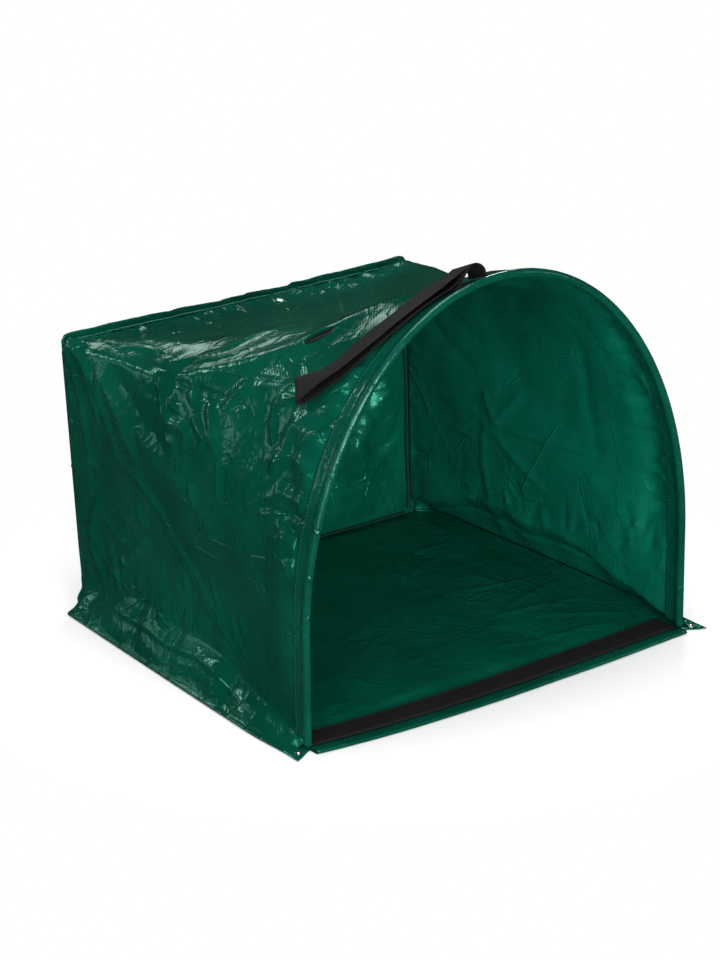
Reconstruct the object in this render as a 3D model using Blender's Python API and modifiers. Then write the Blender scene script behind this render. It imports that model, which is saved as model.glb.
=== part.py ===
"""Garden waste bag that lies on its side like a dustpan.

A hood of coated cloth runs from a D-shaped mouth, held open by a bent rod, to a square
rear panel. Metres, +Z up, mouth towards -Y, origin on the ground under the middle.
"""
import math

import bmesh
import bpy
from mathutils import Matrix, Vector

# The mouth: a bent rod whose legs stand straight and whose top is half an ellipse.
MOUTH_WIDTH = 0.600
MOUTH_HEIGHT = 0.548
LEG_HEIGHT = 0.142
# The rear end: a nearly square panel that leans back a little.
BAG_DEPTH = 0.554
REAR_HEIGHT = 0.373
REAR_WIDTH_FOOT = 0.550
REAR_WIDTH_TOP = 0.564
REAR_LEAN = 0.019
REAR_CORNER = 0.012
SEAM_FIN = 0.012
# Cloth and the gap that touching pieces keep.
CLOTH = 0.0012
PLAY = 0.0003
# Side flanges on the ground, with the points that reach out at the front corners.
FLANGE = 0.030
POINT_REACH = 0.0265
FLARE_FRONT = 0.003
FLARE_MIDDLE = 0.048
FLARE_SPREAD = 0.4
# How the cloth hangs: the roof's pond, the walls' hollow and the sharp folds.
ROOF_SAG = 0.034
POND_HALF_WIDTH = 0.272
POND_REACH = 0.465
POND_POWER = 2.8
WALL_HOLLOW = 0.007
FOLD_DEPTH = 0.006
FOLD_WIDTH = 0.022
# Rod, its caps and its sleeve.
ROD_DIAMETER = 0.006
CAP_WALL = 0.0007
CAP_LENGTH = 0.025
CAP_FLOOR = 0.002
HEM_WIDTH = 0.025
# Front lip: a flat batten in a rolled hem.
BATTEN_THICKNESS = 0.0025
BATTEN_WIDTH = 0.012
LAP = 0.034
# Webbing of the floor strap and the handle.
WEBBING_WIDTH = 0.038
WEBBING_THICKNESS = 0.0016
STRAP_INSET = 0.003
HANDLE_ROOT_SPAN = 0.046
HANDLE_ROOT_X = -0.047
HANDLE_APEX_RISE = 0.022
HANDLE_SETBACK = 0.001
HANDLE_FOOT = 0.005
HANDLE_END_BESIDE = 0.0042
HANDLE_END_BELOW = 0.007
# Bound slot in the roof.
SLOT_LENGTH = 0.046
SLOT_WIDTH = 0.012
SLOT_CORD = 0.0013
SLOT_DEPTH_SHARE = 0.242
SLOT_ANGLE = math.radians(27)
# Seam bindings inside the rear end.
TAPE_DIAMETER = 0.0044
# How finely the curved shapes are cut.
CORNER_STEPS = 18
HOOD_ROWS = 11
HANDLE_BEND_STEPS = 5
HANDLE_TURN_STATIONS = 7
# Corner rivets.
RIVET_HEAD = 0.009
RIVET_SHANK = 0.004
RIVET_DOME = 0.0018
RIVET_FROM_EDGE = 0.013

MOUTH_Y = -BAG_DEPTH / 2
REAR_Y = BAG_DEPTH / 2
HALF_MOUTH = MOUTH_WIDTH / 2
PLY_STEP = CLOTH + PLAY
ROOF_REAR = REAR_HEIGHT - SEAM_FIN
BULB = ROD_DIAMETER / 2 + 2 * PLAY + CAP_WALL + CLOTH / 2
ROD_Y = MOUTH_Y + BULB - CLOTH / 2
HOOD_FRONT_Y = ROD_Y + BULB + PLAY
HEM_REAR_Y = ROD_Y + HEM_WIDTH
FLOOR_FRONT_Y = MOUTH_Y + PLY_STEP
ROD_SHARE = (ROD_Y - MOUTH_Y) / BAG_DEPTH
HOOD_FRONT_SHARE = (HOOD_FRONT_Y - MOUTH_Y) / BAG_DEPTH
HEM_SHARE = (HEM_REAR_Y - MOUTH_Y) / BAG_DEPTH
LIP_HEIGHT = BATTEN_THICKNESS + 2 * PLY_STEP
HEM_FOOT_Z = LIP_HEIGHT + 2 * PLAY

GREEN = (0.004, 0.062, 0.040, 1)
BLACK = (0.017, 0.014, 0.014, 1)
ROD_GREY = (0.62, 0.62, 0.58, 1)
STEEL = (0.62, 0.63, 0.64, 1)


def clear_scene():
    for obj in list(bpy.data.objects):
        bpy.data.objects.remove(obj, do_unlink=True)


def collection(name):
    made = bpy.data.collections.new(name)
    bpy.context.scene.collection.children.link(made)
    return made


def material(name, color, roughness, metallic=0.0):
    made = bpy.data.materials.new(name)
    made.use_nodes = True
    shader = made.node_tree.nodes["Principled BSDF"]
    shader.inputs["Base Color"].default_value = color
    shader.inputs["Roughness"].default_value = roughness
    shader.inputs["Metallic"].default_value = metallic
    return made


clear_scene()
BAG = collection("garden_waste_bag")
CUTTERS = collection("cutters")
COATED_CLOTH = material("coated_cloth", GREEN, 0.3)
WEBBING = material("webbing", BLACK, 0.8)
BINDING = material("binding", BLACK, 0.6)
GLASS_ROD = material("glass_rod", ROD_GREY, 0.4)
SOFT_CAP = material("soft_cap", BLACK, 0.5)
BATTEN = material("batten", BLACK, 0.45)
RIVET_STEEL = material("rivet_steel", STEEL, 0.25, 1.0)


def mesh_object(name, verts, faces, finish, where=BAG):
    mesh = bpy.data.meshes.new(name)
    mesh.from_pydata([tuple(v) for v in verts], [], faces)
    mesh.validate()
    obj = bpy.data.objects.new(name, mesh)
    where.objects.link(obj)
    mesh.materials.append(finish)
    return obj


def thicken(obj, thickness):
    solid = obj.modifiers.new("cloth", "SOLIDIFY")
    solid.thickness = thickness
    solid.offset = 0
    solid.use_even_offset = True
    solid.use_quality_normals = True
    return solid


def grid_faces(rows, columns):
    """Quads of a grid of points stored row after row."""
    return [
        (r * columns + c, r * columns + c + 1, (r + 1) * columns + c + 1, (r + 1) * columns + c)
        for r in range(rows - 1)
        for c in range(columns - 1)
    ]


def smooth(obj, angle=math.radians(40)):
    obj.data.shade_smooth()
    obj.data.set_sharp_from_angle(angle=angle)


def tube(name, points, radius, finish, cyclic=False, sides=2):
    curve = bpy.data.curves.new(name, "CURVE")
    curve.dimensions = "3D"
    curve.bevel_depth = radius
    curve.bevel_resolution = sides
    curve.use_fill_caps = not cyclic
    spline = curve.splines.new("POLY")
    spline.points.add(len(points) - 1)
    for place, point in zip(spline.points, points):
        place.co = (*point, 1)
    spline.use_cyclic_u = cyclic
    curve.materials.append(finish)
    obj = bpy.data.objects.new(name, curve)
    BAG.objects.link(obj)
    return obj


def between(low, high, share):
    return low + (high - low) * share


def slack(depth):
    """1 where the cloth hangs most freely, 0 in the hem and at the rear seam."""
    return math.sin(math.pi * min(1.0, max(0.0, (depth - HEM_SHARE) / (1 - HEM_SHARE))))


# The hood's cross-section at a share of the depth is the arch and the rear square, mixed.
class Section:
    def __init__(self, depth):
        self.depth = depth
        self.wall = between(LEG_HEIGHT, ROOF_REAR - REAR_CORNER, depth)
        self.across = between(HALF_MOUTH, REAR_CORNER, depth)
        self.up = between(MOUTH_HEIGHT - LEG_HEIGHT, REAR_CORNER, depth)
        self.flat = depth * (REAR_WIDTH_TOP / 2 - REAR_CORNER)
        self.foot = between(HALF_MOUTH, REAR_WIDTH_FOOT / 2, depth)
        self.ground = CLOTH / 2 + PLY_STEP
        self.flare = between(FLARE_FRONT, FLARE_MIDDLE, slack(depth) ** 0.8)
        self.spread = self.flare * FLARE_SPREAD

    def point(self, part, share):
        """Place (x, z) and outward normal on the right-hand half, from flange to middle."""
        if part == "flange":
            inner = self.foot + self.spread
            return between(self.foot + FLANGE, inner, share), self.ground, 0.0, 1.0
        if part == "flare":
            turn = share * math.pi / 2
            x = self.foot + self.spread * (1 - math.sin(turn))
            z = self.ground + self.flare * (1 - math.cos(turn))
            nx, nz = math.sin(turn) * self.flare, math.cos(turn) * self.spread
        elif part == "wall":
            z = between(self.ground + self.flare, self.wall, share)
            x = between(self.foot, self.flat + self.across, z / self.wall)
            nx, nz = 1.0, 0.0
        elif part == "corner":
            turn = (1 - share) * math.pi / 2
            x = self.flat + self.across * math.sin(turn)
            z = self.wall + self.up * math.cos(turn)
            nx, nz = math.sin(turn) / self.across, math.cos(turn) / self.up
        else:
            x = self.flat * (1 - share)
            z = self.wall + self.up
            nx, nz = 0.0, 1.0
        length = math.hypot(nx, nz)
        return x, z, nx / length, nz / length


def pond(x, y):
    """How far the roof sags, 0 at the taut ridge that runs from the rear corners to the crown."""
    rear = REAR_Y + REAR_LEAN * ROOF_REAR / REAR_HEIGHT
    edge = (abs(x) / POND_HALF_WIDTH) ** POND_POWER
    edge += (max(0.0, rear - y) / POND_REACH) ** POND_POWER
    held = 1 - max(0.0, 1 - (rear - y) / POND_REACH) ** 5
    return ROOF_SAG * max(0.0, 1 - edge) ** 0.8 * held


# Sharp folds as (wall side, from (y, z), to (y, z)), raised on the left, pressed in on the right.
FOLDS = (
    (-1, (0.130, 0.270), (-0.150, 0.050)),
    (-1, (0.170, 0.080), (0.050, 0.190)),
    (1, (0.075, 0.340), (0.060, 0.180)),
    (1, (0.060, 0.180), (-0.060, 0.060)),
)


def fold(side, y, z):
    total = 0.0
    for of_side, start, end in FOLDS:
        if of_side * side <= 0:
            continue
        a, b, p = Vector(start), Vector(end), Vector((y, z))
        along = max(0.0, min(1.0, (p - a).dot(b - a) / (b - a).length_squared))
        off = (p - a.lerp(b, along)).length
        total -= FOLD_DEPTH * side * math.exp(-((off / FOLD_WIDTH) ** 2))
    return total


def hood_point(depth, side, part, share, lift=0.0):
    """A point of the hood, hanging as it does, raised along its normal by lift."""
    x, z, nx, nz = Section(depth).point(part, share)
    y = MOUTH_Y + depth * (BAG_DEPTH + REAR_LEAN * z / REAR_HEIGHT)
    push = lift
    if part == "wall":
        hollow = math.sin(math.pi * share) * slack(depth)
        push += (fold(side, y, z) - WALL_HOLLOW) * hollow
    if part in ("corner", "roof"):
        z -= pond(x, y)
    return Vector((side * (x + nx * push), y, z + nz * push))


HALF_STATIONS = (
    [("flange", s) for s in (0.0,)]
    + [("flare", s / 3) for s in range(3)]
    + [("wall", s / 5) for s in range(5)]
    + [("corner", s / CORNER_STEPS) for s in range(CORNER_STEPS)]
    + [("roof", s / 3) for s in range(3)]
)


def hood_row(depth, lift=0.0, stations=HALF_STATIONS):
    left = [hood_point(depth, -1, part, share, lift) for part, share in stations]
    middle = [hood_point(depth, 1, "roof", 1.0, lift)]
    right = [hood_point(depth, 1, part, share, lift) for part, share in reversed(stations)]
    return left + middle + right


def cut(obj, cutter):
    knife = obj.modifiers.new("cut", "BOOLEAN")
    knife.operation = "DIFFERENCE"
    knife.object = cutter


def hide_cutter(obj):
    obj.hide_render = True
    obj.display_type = "WIRE"


def rivet_place(side):
    return Vector((side * (HALF_MOUTH + FLANGE - RIVET_FROM_EDGE), MOUTH_Y, 0))


def rivet_cutter(side):
    bpy.ops.mesh.primitive_cylinder_add(
        vertices=16, radius=RIVET_SHANK / 2 + PLAY, depth=20 * CLOTH, location=rivet_place(side)
    )
    obj = bpy.context.object
    obj.name = "rivet_cutter"
    for old in list(obj.users_collection):
        old.objects.unlink(obj)
    CUTTERS.objects.link(obj)
    hide_cutter(obj)
    return obj


RIVET_CUTTERS = {side: rivet_cutter(side) for side in (-1, 1)}


# Slot: a lens whose long axis follows the ridge, in the hood's own surface.
def slot_frame():
    down, step = 1 - SLOT_ANGLE / (math.pi / 2), 0.02
    centre = hood_point(SLOT_DEPTH_SHARE, -1, "corner", down)
    ahead = hood_point(SLOT_DEPTH_SHARE - step, -1, "corner", down + 3 * step)
    behind = hood_point(SLOT_DEPTH_SHARE + step, -1, "corner", down - 3 * step)
    beside = hood_point(SLOT_DEPTH_SHARE + step, -1, "corner", down + 3 * step)
    along = (ahead - behind).normalized()
    up = along.cross(beside - centre).normalized()
    up = up if up.z > 0 else -up
    return Matrix.Translation(centre) @ Matrix((along, up.cross(along), up)).transposed().to_4x4()


def lens(half_length, half_width, steps=12):
    """Points round a lens with soft ends."""
    turns = [math.pi * k / steps for k in range(2 * steps)]
    across = [half_width * math.sin(t) * abs(math.sin(t)) ** 0.4 for t in turns]
    return [Vector((half_length * math.cos(t), y, 0)) for t, y in zip(turns, across)]


def widened(ring, reach):
    """The same ring, moved outwards by reach."""
    moved = []
    for k, point in enumerate(ring):
        ahead = (ring[(k + 1) % len(ring)] - ring[k - 1]).normalized()
        moved.append(point + reach * Vector((ahead.y, -ahead.x, 0)))
    return moved


def slot_cutter():
    frame = slot_frame()
    ring = widened(lens(SLOT_LENGTH / 2, SLOT_WIDTH / 2), SLOT_CORD + PLAY)
    deep = Vector((0, 0, SLOT_WIDTH))
    verts = [frame @ (point + end) for end in (-deep, deep) for point in ring]
    count = len(ring)
    sides = [(k, (k + 1) % count, count + (k + 1) % count, count + k) for k in range(count)]
    caps = [tuple(reversed(range(count))), tuple(range(count, 2 * count))]
    obj = mesh_object("slot_cutter", verts, sides + caps, BINDING, CUTTERS)
    hide_cutter(obj)
    return obj


def hood_sheet():
    last = 1 - PLAY / BAG_DEPTH
    depths = [HOOD_FRONT_SHARE]
    depths += [between(HEM_SHARE, last, k / HOOD_ROWS) for k in range(HOOD_ROWS + 1)]
    rows = len(depths)
    points = [hood_row(depth) for depth in depths]
    columns = len(points[0])
    front = points[0]
    for column in (0, columns - 1):
        front[column].y -= POINT_REACH
    verts = [p for row in points for p in row]
    obj = mesh_object("hood_sheet", verts, grid_faces(rows, columns), COATED_CLOTH)
    thicken(obj, CLOTH)
    for cutter in (*RIVET_CUTTERS.values(), slot_cutter()):
        cut(obj, cutter)
    smooth(obj)
    return obj


def slot_binding():
    frame = slot_frame()
    ring = [frame @ point for point in lens(SLOT_LENGTH / 2, SLOT_WIDTH / 2)]
    return tube("slot_binding", ring, SLOT_CORD, BINDING, cyclic=True)


# Floor: a flat sheet whose front corners reach forward to a point.
def floor_panel():
    ear_front = HOOD_FRONT_Y - POINT_REACH
    ear_inner = HALF_MOUTH - PLAY
    mouth_edge = HALF_MOUTH + FLANGE
    rear_edge = REAR_WIDTH_FOOT / 2 + FLANGE
    rear_y = REAR_Y + CLOTH
    half = [
        (ear_inner, FLOOR_FRONT_Y),
        (mouth_edge, ear_front),
        (rear_edge, rear_y),
    ]
    outline = half + [(-x, y) for x, y in reversed(half)]
    curve = bpy.data.curves.new("floor_panel", "CURVE")
    curve.dimensions = "2D"
    curve.fill_mode = "BOTH"
    curve.extrude = CLOTH / 2
    spline = curve.splines.new("POLY")
    spline.points.add(len(outline) - 1)
    for place, (x, y) in zip(spline.points, outline):
        place.co = (x, y, 0, 1)
    spline.use_cyclic_u = True
    shape = bpy.data.objects.new("floor_outline", curve)
    BAG.objects.link(shape)
    bpy.context.view_layer.update()
    mesh = bpy.data.meshes.new_from_object(shape.evaluated_get(bpy.context.evaluated_depsgraph_get()))
    bpy.data.objects.remove(shape)
    made = bmesh.new()
    made.from_mesh(mesh)
    bmesh.ops.remove_doubles(made, verts=made.verts, dist=0.00001)
    bmesh.ops.translate(made, verts=made.verts, vec=(0, 0, CLOTH / 2))
    bmesh.ops.recalc_face_normals(made, faces=made.faces)
    made.to_mesh(mesh)
    made.free()
    mesh.materials.clear()
    mesh.materials.append(COATED_CLOTH)
    obj = bpy.data.objects.new("floor_panel", mesh)
    BAG.objects.link(obj)
    for cutter in RIVET_CUTTERS.values():
        cut(obj, cutter)
    return obj


# Rear panel: one flat sheet in the leaning plane, with the seam fin along its top.
def rear_plane_y(z, off=0.0):
    return REAR_Y + REAR_LEAN * z / REAR_HEIGHT + off


def rear_panel():
    foot_z = PLY_STEP
    half = [
        (REAR_WIDTH_FOOT / 2, foot_z),
        (REAR_WIDTH_TOP / 2, ROOF_REAR - REAR_CORNER),
        (REAR_WIDTH_TOP / 2, REAR_HEIGHT - REAR_CORNER / 2),
        (REAR_WIDTH_TOP / 2 - REAR_CORNER / 2, REAR_HEIGHT),
    ]
    outline = half + [(-x, z) for x, z in reversed(half)]
    verts = [(x, rear_plane_y(z, off), z) for off in (0.0, CLOTH) for x, z in outline]
    count = len(outline)
    sides = [(k, (k + 1) % count, count + (k + 1) % count, count + k) for k in range(count)]
    caps = [tuple(reversed(range(count))), tuple(range(count, 2 * count))]
    obj = mesh_object("rear_panel", verts, sides + caps, COATED_CLOTH)
    made = bmesh.new()
    made.from_mesh(obj.data)
    bmesh.ops.recalc_face_normals(made, faces=made.faces)
    made.to_mesh(obj.data)
    made.free()
    return obj


# Arch: rod, caps and sleeve share one line, just behind the mouth's edge.
def arch_stations(foot_z, leg_steps=3):
    """(side, part, share) from the left foot over the crown to the right foot."""
    section = Section(ROD_SHARE)
    low = section.ground + section.flare
    start = (foot_z - low) / (section.wall - low)
    half = [("wall", between(start, 1, k / leg_steps)) for k in range(leg_steps)]
    half += [("corner", k / CORNER_STEPS) for k in range(CORNER_STEPS + 1)]
    return [(-1, *s) for s in half] + [(1, *s) for s in reversed(half)]


def arch_rod():
    low = HEM_FOOT_Z + CAP_FLOOR + PLAY
    points = [hood_point(ROD_SHARE, *station) for station in arch_stations(low)]
    return tube("arch_rod", points, ROD_DIAMETER / 2, GLASS_ROD)


def turned(name, profile, place, finish):
    """A round piece whose profile (radius, height) runs from the axis, down its outer side."""
    mesh = bpy.data.meshes.new(name)
    edges = [(k, k + 1) for k in range(len(profile) - 1)]
    mesh.from_pydata([(r, 0, z) for r, z in profile], edges, [])
    mesh.materials.append(finish)
    obj = bpy.data.objects.new(name, mesh)
    BAG.objects.link(obj)
    obj.location = place
    turn = obj.modifiers.new("turn", "SCREW")
    turn.steps = turn.render_steps = 16
    turn.use_merge_vertices = True
    turn.merge_threshold = 0.00001
    return obj


def rod_cap(side):
    inner = ROD_DIAMETER / 2 + PLAY
    outer = inner + CAP_WALL
    cup = [(0.0, CAP_FLOOR), (inner, CAP_FLOOR), (inner, CAP_LENGTH)]
    cup += [(outer, CAP_LENGTH), (outer, 0.0), (0.0, 0.0)]
    foot = arch_stations(HEM_FOOT_Z)[0 if side < 0 else -1]
    name = "rod_cap_left" if side < 0 else "rod_cap_right"
    return turned(name, cup, hood_point(ROD_SHARE, *foot), SOFT_CAP)


def arch_hem():
    """One strip that laps the hood outside, rolls round the rod and laps it inside."""
    roll_steps, roll_start = 8, math.radians(55)
    laps = [HEM_SHARE, between(HEM_SHARE, HOOD_FRONT_SHARE, 0.7)]
    verts = []
    for station in arch_stations(HEM_FOOT_Z):
        side, part, share = station
        centre = hood_point(ROD_SHARE, *station)
        outward = hood_point(ROD_SHARE, *station, lift=1.0) - centre
        ring = [hood_point(depth, *station, lift=PLY_STEP) for depth in laps]
        for k in range(roll_steps + 1):
            turn = between(roll_start, 2 * math.pi - roll_start, k / roll_steps)
            ring.append(centre + BULB * (outward * math.sin(turn) + Vector((0, math.cos(turn), 0))))
        ring += [hood_point(depth, *station, lift=-PLY_STEP) for depth in reversed(laps)]
        verts += ring
    columns = 2 * len(laps) + roll_steps + 1
    obj = mesh_object("arch_hem", verts, grid_faces(len(verts) // columns, columns), COATED_CLOTH)
    thicken(obj, CLOTH)
    smooth(obj)
    return obj


# Front lip: batten, the cloth rolled round it, and the strap sewn on top.
LIP_REAR_Y = FLOOR_FRONT_Y - PLAY
LIP_FRONT_Y = LIP_REAR_Y - BATTEN_WIDTH - 2 * PLY_STEP
LIP_HALF = HALF_MOUTH - 5 * PLAY


def front_batten():
    bpy.ops.mesh.primitive_cube_add(
        size=1, location=(0, LIP_REAR_Y - PLY_STEP - BATTEN_WIDTH / 2, PLY_STEP + BATTEN_THICKNESS / 2)
    )
    obj = bpy.context.object
    obj.name = "front_batten"
    obj.data.name = "front_batten"
    obj.scale = (2 * LIP_HALF - 4 * CLOTH, BATTEN_WIDTH, BATTEN_THICKNESS)
    bpy.ops.object.transform_apply(location=False, rotation=False, scale=True)
    for old in list(obj.users_collection):
        old.objects.unlink(obj)
    BAG.objects.link(obj)
    obj.data.materials.append(BATTEN)
    edge = obj.modifiers.new("edge", "BEVEL")
    edge.width = BATTEN_THICKNESS / 5
    edge.segments = 2
    return obj


def front_hem():
    """Section (y, z) of the cloth's middle: lap on the floor, over, round and back under."""
    half = CLOTH / 2
    top = LIP_HEIGHT - half
    lap_z = CLOTH + PLAY + half
    section = [
        (LIP_REAR_Y + LAP, lap_z),
        (LIP_REAR_Y + PLAY + half, lap_z),
        (LIP_REAR_Y - half, top),
        (LIP_FRONT_Y + 2 * half, top),
        (LIP_FRONT_Y + half, top - half),
        (LIP_FRONT_Y + half, 2 * half),
        (LIP_FRONT_Y + 2 * half, half),
        (LIP_REAR_Y - half, half),
    ]
    verts = [(side * LIP_HALF, y, z) for side in (-1, 1) for y, z in section]
    obj = mesh_object("front_hem", verts, grid_faces(2, len(section)), COATED_CLOTH)
    thicken(obj, CLOTH)
    return obj


def front_webbing():
    low = 2 * PLY_STEP + PLAY
    bpy.ops.mesh.primitive_cube_add(
        size=1, location=(0, LIP_REAR_Y + 2 * STRAP_INSET + WEBBING_WIDTH / 2, low + WEBBING_THICKNESS / 2)
    )
    obj = bpy.context.object
    obj.name = "front_webbing"
    obj.data.name = "front_webbing"
    obj.scale = (2 * (HALF_MOUTH - 2 * STRAP_INSET), WEBBING_WIDTH, WEBBING_THICKNESS)
    bpy.ops.object.transform_apply(location=False, rotation=False, scale=True)
    for old in list(obj.users_collection):
        old.objects.unlink(obj)
    BAG.objects.link(obj)
    obj.data.materials.append(WEBBING)
    return obj


def rivet(side):
    """Domed head on the flange with a shank through both plies, set flush below."""
    low, flange_top = PLAY, 2 * PLY_STEP + PLAY
    head, shank = RIVET_HEAD / 2, RIVET_SHANK / 2
    profile = [(0.0, flange_top + RIVET_DOME)]
    for k in range(1, 4):
        turn = math.pi / 2 * k / 4
        profile.append((head * math.sin(turn), flange_top + RIVET_DOME * math.cos(turn)))
    profile += [(head, flange_top), (shank, flange_top), (shank, low), (0.0, low)]
    return turned("rivet_left" if side < 0 else "rivet_right", profile, rivet_place(side), RIVET_STEEL)


# Seam bindings: round tapes that follow the rear panel's inner edges.
def rear_tapes():
    radius = TAPE_DIAMETER / 2
    inset = CLOTH / 2 + PLAY + radius
    low = CLOTH + PLAY + radius
    high = ROOF_REAR - inset
    spacing = TAPE_DIAMETER + 2 * PLAY

    def inner_x(z):
        return between(REAR_WIDTH_FOOT, REAR_WIDTH_TOP, z / ROOF_REAR) / 2 - inset - WALL_HOLLOW / 4

    def place(x, z):
        return (x, rear_plane_y(z, -PLAY - radius), z)

    tapes = []
    for side, name in ((-1, "corner_tape_left"), (1, "corner_tape_right")):
        upright = [between(low + spacing, high - spacing, k / 6) for k in range(7)]
        tapes.append(tube(name, [place(side * inner_x(z), z) for z in upright], radius, BINDING))
    for name, z in (("foot_tape", low), ("top_tape", high)):
        end = inner_x(z) - REAR_CORNER / 2
        points = [place(between(-end, end, k / 8), z) for k in range(9)]
        tapes.append(tube(name, points, radius, BINDING))
    return tapes


# Handle: a flat strap folded on itself, which leaves the crown as an upturned V.
# The flopped loop's stations: share of the depth, share of the way from the middle to the
# arch's side, and in strap thicknesses the lower ply's height and the gap between the plies.
HANDLE_ROUTE = (
    (0.046, 0.177, 14.25, 2.62),
    (0.050, 0.200, 10.94, 2.62),
    (0.053, 0.220, 8.00, 2.62),
    (0.056, 0.240, 6.12, 2.62),
    (0.059, 0.263, 4.69, 2.62),
    (0.062, 0.300, 3.62, 2.69),
    (0.065, 0.353, 3.25, 2.75),
    (0.071, 0.450, 3.50, 2.75),
    (0.082, 0.515, 3.80, 2.80),
    (0.096, 0.581, 3.30, 2.88),
    (0.114, 0.643, 2.50, 3.50),
    (0.139, 0.690, 2.12, 5.00),
    (0.162, 0.728, 2.00, 6.38),
    (0.181, 0.758, 2.00, 7.00),
)


def crown_degrees(x, depth):
    """The angle down from the crown at which the hood's section passes x."""
    section = Section(depth)
    return math.degrees(math.asin((abs(x) - section.flat) / section.across))


def crown_point(depth, degrees, lift=0.0):
    return hood_point(depth, -1, "corner", 1 - degrees / 90, lift)


HANDLE_EDGES = (
    ((ROD_Y + HANDLE_SETBACK - MOUTH_Y) / BAG_DEPTH, BULB + CLOTH / 2),
    ((ROD_Y + HANDLE_SETBACK + WEBBING_WIDTH - MOUTH_Y) / BAG_DEPTH, PLY_STEP + CLOTH / 2),
)


def root_edges(x, rise):
    """Front and back edge of the strap where it stands over the hem at x."""
    edges = []
    for depth, clear in HANDLE_EDGES:
        lift = clear + PLAY + WEBBING_THICKNESS / 2
        point = crown_point(depth, crown_degrees(x, depth), lift)
        edges.append(point + Vector((0, 0, rise)))
    return edges


HANDLE_ROOT = root_edges(HANDLE_ROOT_X, HANDLE_APEX_RISE)
HANDLE_PIVOT = (HANDLE_ROOT[0] + HANDLE_ROOT[1]) / 2
HANDLE_AXIS = (HANDLE_ROOT[1] - HANDLE_ROOT[0]).normalized()


def strap(name, edges):
    """A strap from the pairs of front and back points that it passes."""
    verts = [p for pair in edges for p in pair]
    obj = mesh_object(name, verts, grid_faces(len(edges), 2), WEBBING)
    thicken(obj, WEBBING_THICKNESS)
    smooth(obj, math.radians(60))
    return obj


def handle_end(side):
    """One sewn end: a flat foot on the hem, then up, leaning towards the other end."""
    foot_x = HANDLE_ROOT_X + side * HANDLE_ROOT_SPAN / 2
    top_x = HANDLE_ROOT_X + side * HANDLE_END_BESIDE
    top_rise = HANDLE_APEX_RISE - HANDLE_END_BELOW
    edges = [root_edges(foot_x + side * HANDLE_FOOT, 0), root_edges(foot_x, 0)]
    for k in range(1, 5):
        turn = math.pi / 2 * k / 4
        x = between(foot_x, top_x, 1 - math.cos(turn) if side > 0 else k / 4)
        edges.append(root_edges(x, top_rise * (math.sin(turn) if side > 0 else k / 4)))
    return strap("handle_end_left" if side < 0 else "handle_end_right", edges)


def handle_loop():
    """Upper ply out from the apex, round the bend and back as the lower ply."""
    centres, normals = [], []
    for depth, out, low, gap in HANDLE_ROUTE:
        degrees = crown_degrees(out * HALF_MOUTH, depth)
        foot = crown_point(depth, degrees)
        normals.append((crown_point(depth, degrees, WEBBING_THICKNESS) - foot).normalized())
        centres.append(foot + normals[-1] * WEBBING_THICKNESS * (low + gap / 2))
    upper, lower = [], []
    for k, (_, _, _, gap_share) in enumerate(HANDLE_ROUTE):
        gap = WEBBING_THICKNESS * gap_share
        before = centres[k - 1] if k else HANDLE_PIVOT
        ahead = (centres[min(k + 1, len(centres) - 1)] - before).normalized()
        across = ahead.cross(normals[k]).normalized()
        across = across if across.dot(HANDLE_AXIS) > 0 else -across
        across = HANDLE_AXIS.lerp(across, min(1.0, k / HANDLE_TURN_STATIONS)).normalized()
        up = across.cross(ahead).normalized()
        up = up if up.dot(normals[k]) > 0 else -up
        half = across * WEBBING_WIDTH / 2
        for ply, height in ((upper, gap / 2), (lower, -gap / 2)):
            middle = centres[k] + up * height
            ply.append((middle - half, middle + half))
    turns = [math.pi * k / (HANDLE_BEND_STEPS + 1) for k in range(1, HANDLE_BEND_STEPS + 1)]
    bend = [centres[-1] + gap / 2 * (up * math.cos(t) + ahead * math.sin(t)) for t in turns]
    first = HANDLE_PIVOT + Vector((0, 0, WEBBING_THICKNESS * 0.9))
    second = HANDLE_PIVOT + Vector((-WEBBING_THICKNESS, 0, -WEBBING_THICKNESS * 0.7))
    root = HANDLE_AXIS * WEBBING_WIDTH / 2
    edges = [(first - root, first + root)] + upper + [(p - half, p + half) for p in bend]
    edges += list(reversed(lower)) + [(second - root, second + root)]
    obj = strap("handle_loop", edges)
    obj.data.transform(Matrix.Translation(-HANDLE_PIVOT))
    obj.location = HANDLE_PIVOT
    return obj


def gather(name, place, pieces):
    """An empty that carries the pieces which move together."""
    holder = bpy.data.objects.new(name, None)
    BAG.objects.link(holder)
    holder.location = place
    bpy.context.view_layer.update()
    for piece in pieces:
        piece.parent = holder
        piece.matrix_parent_inverse = holder.matrix_world.inverted()
    return holder


hood_sheet()
slot_binding()
floor_panel()
arch_rod()
rod_cap(-1)
rod_cap(1)
arch_hem()
front_batten()
front_hem()
front_webbing()
rivet(-1)
rivet(1)
gather("rear_end", (0, REAR_Y, 0), [rear_panel(), *rear_tapes()])
handle_end(-1)
handle_end(1)
handle_loop()
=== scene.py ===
"""Garden waste bag of coated cloth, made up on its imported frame.

Metres, +Z up, the mouth towards -Y. The sections follow the order of sewing.
"""
import math

import bpy
import numpy as np
from mathutils import Matrix, Vector, geometry, noise


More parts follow.
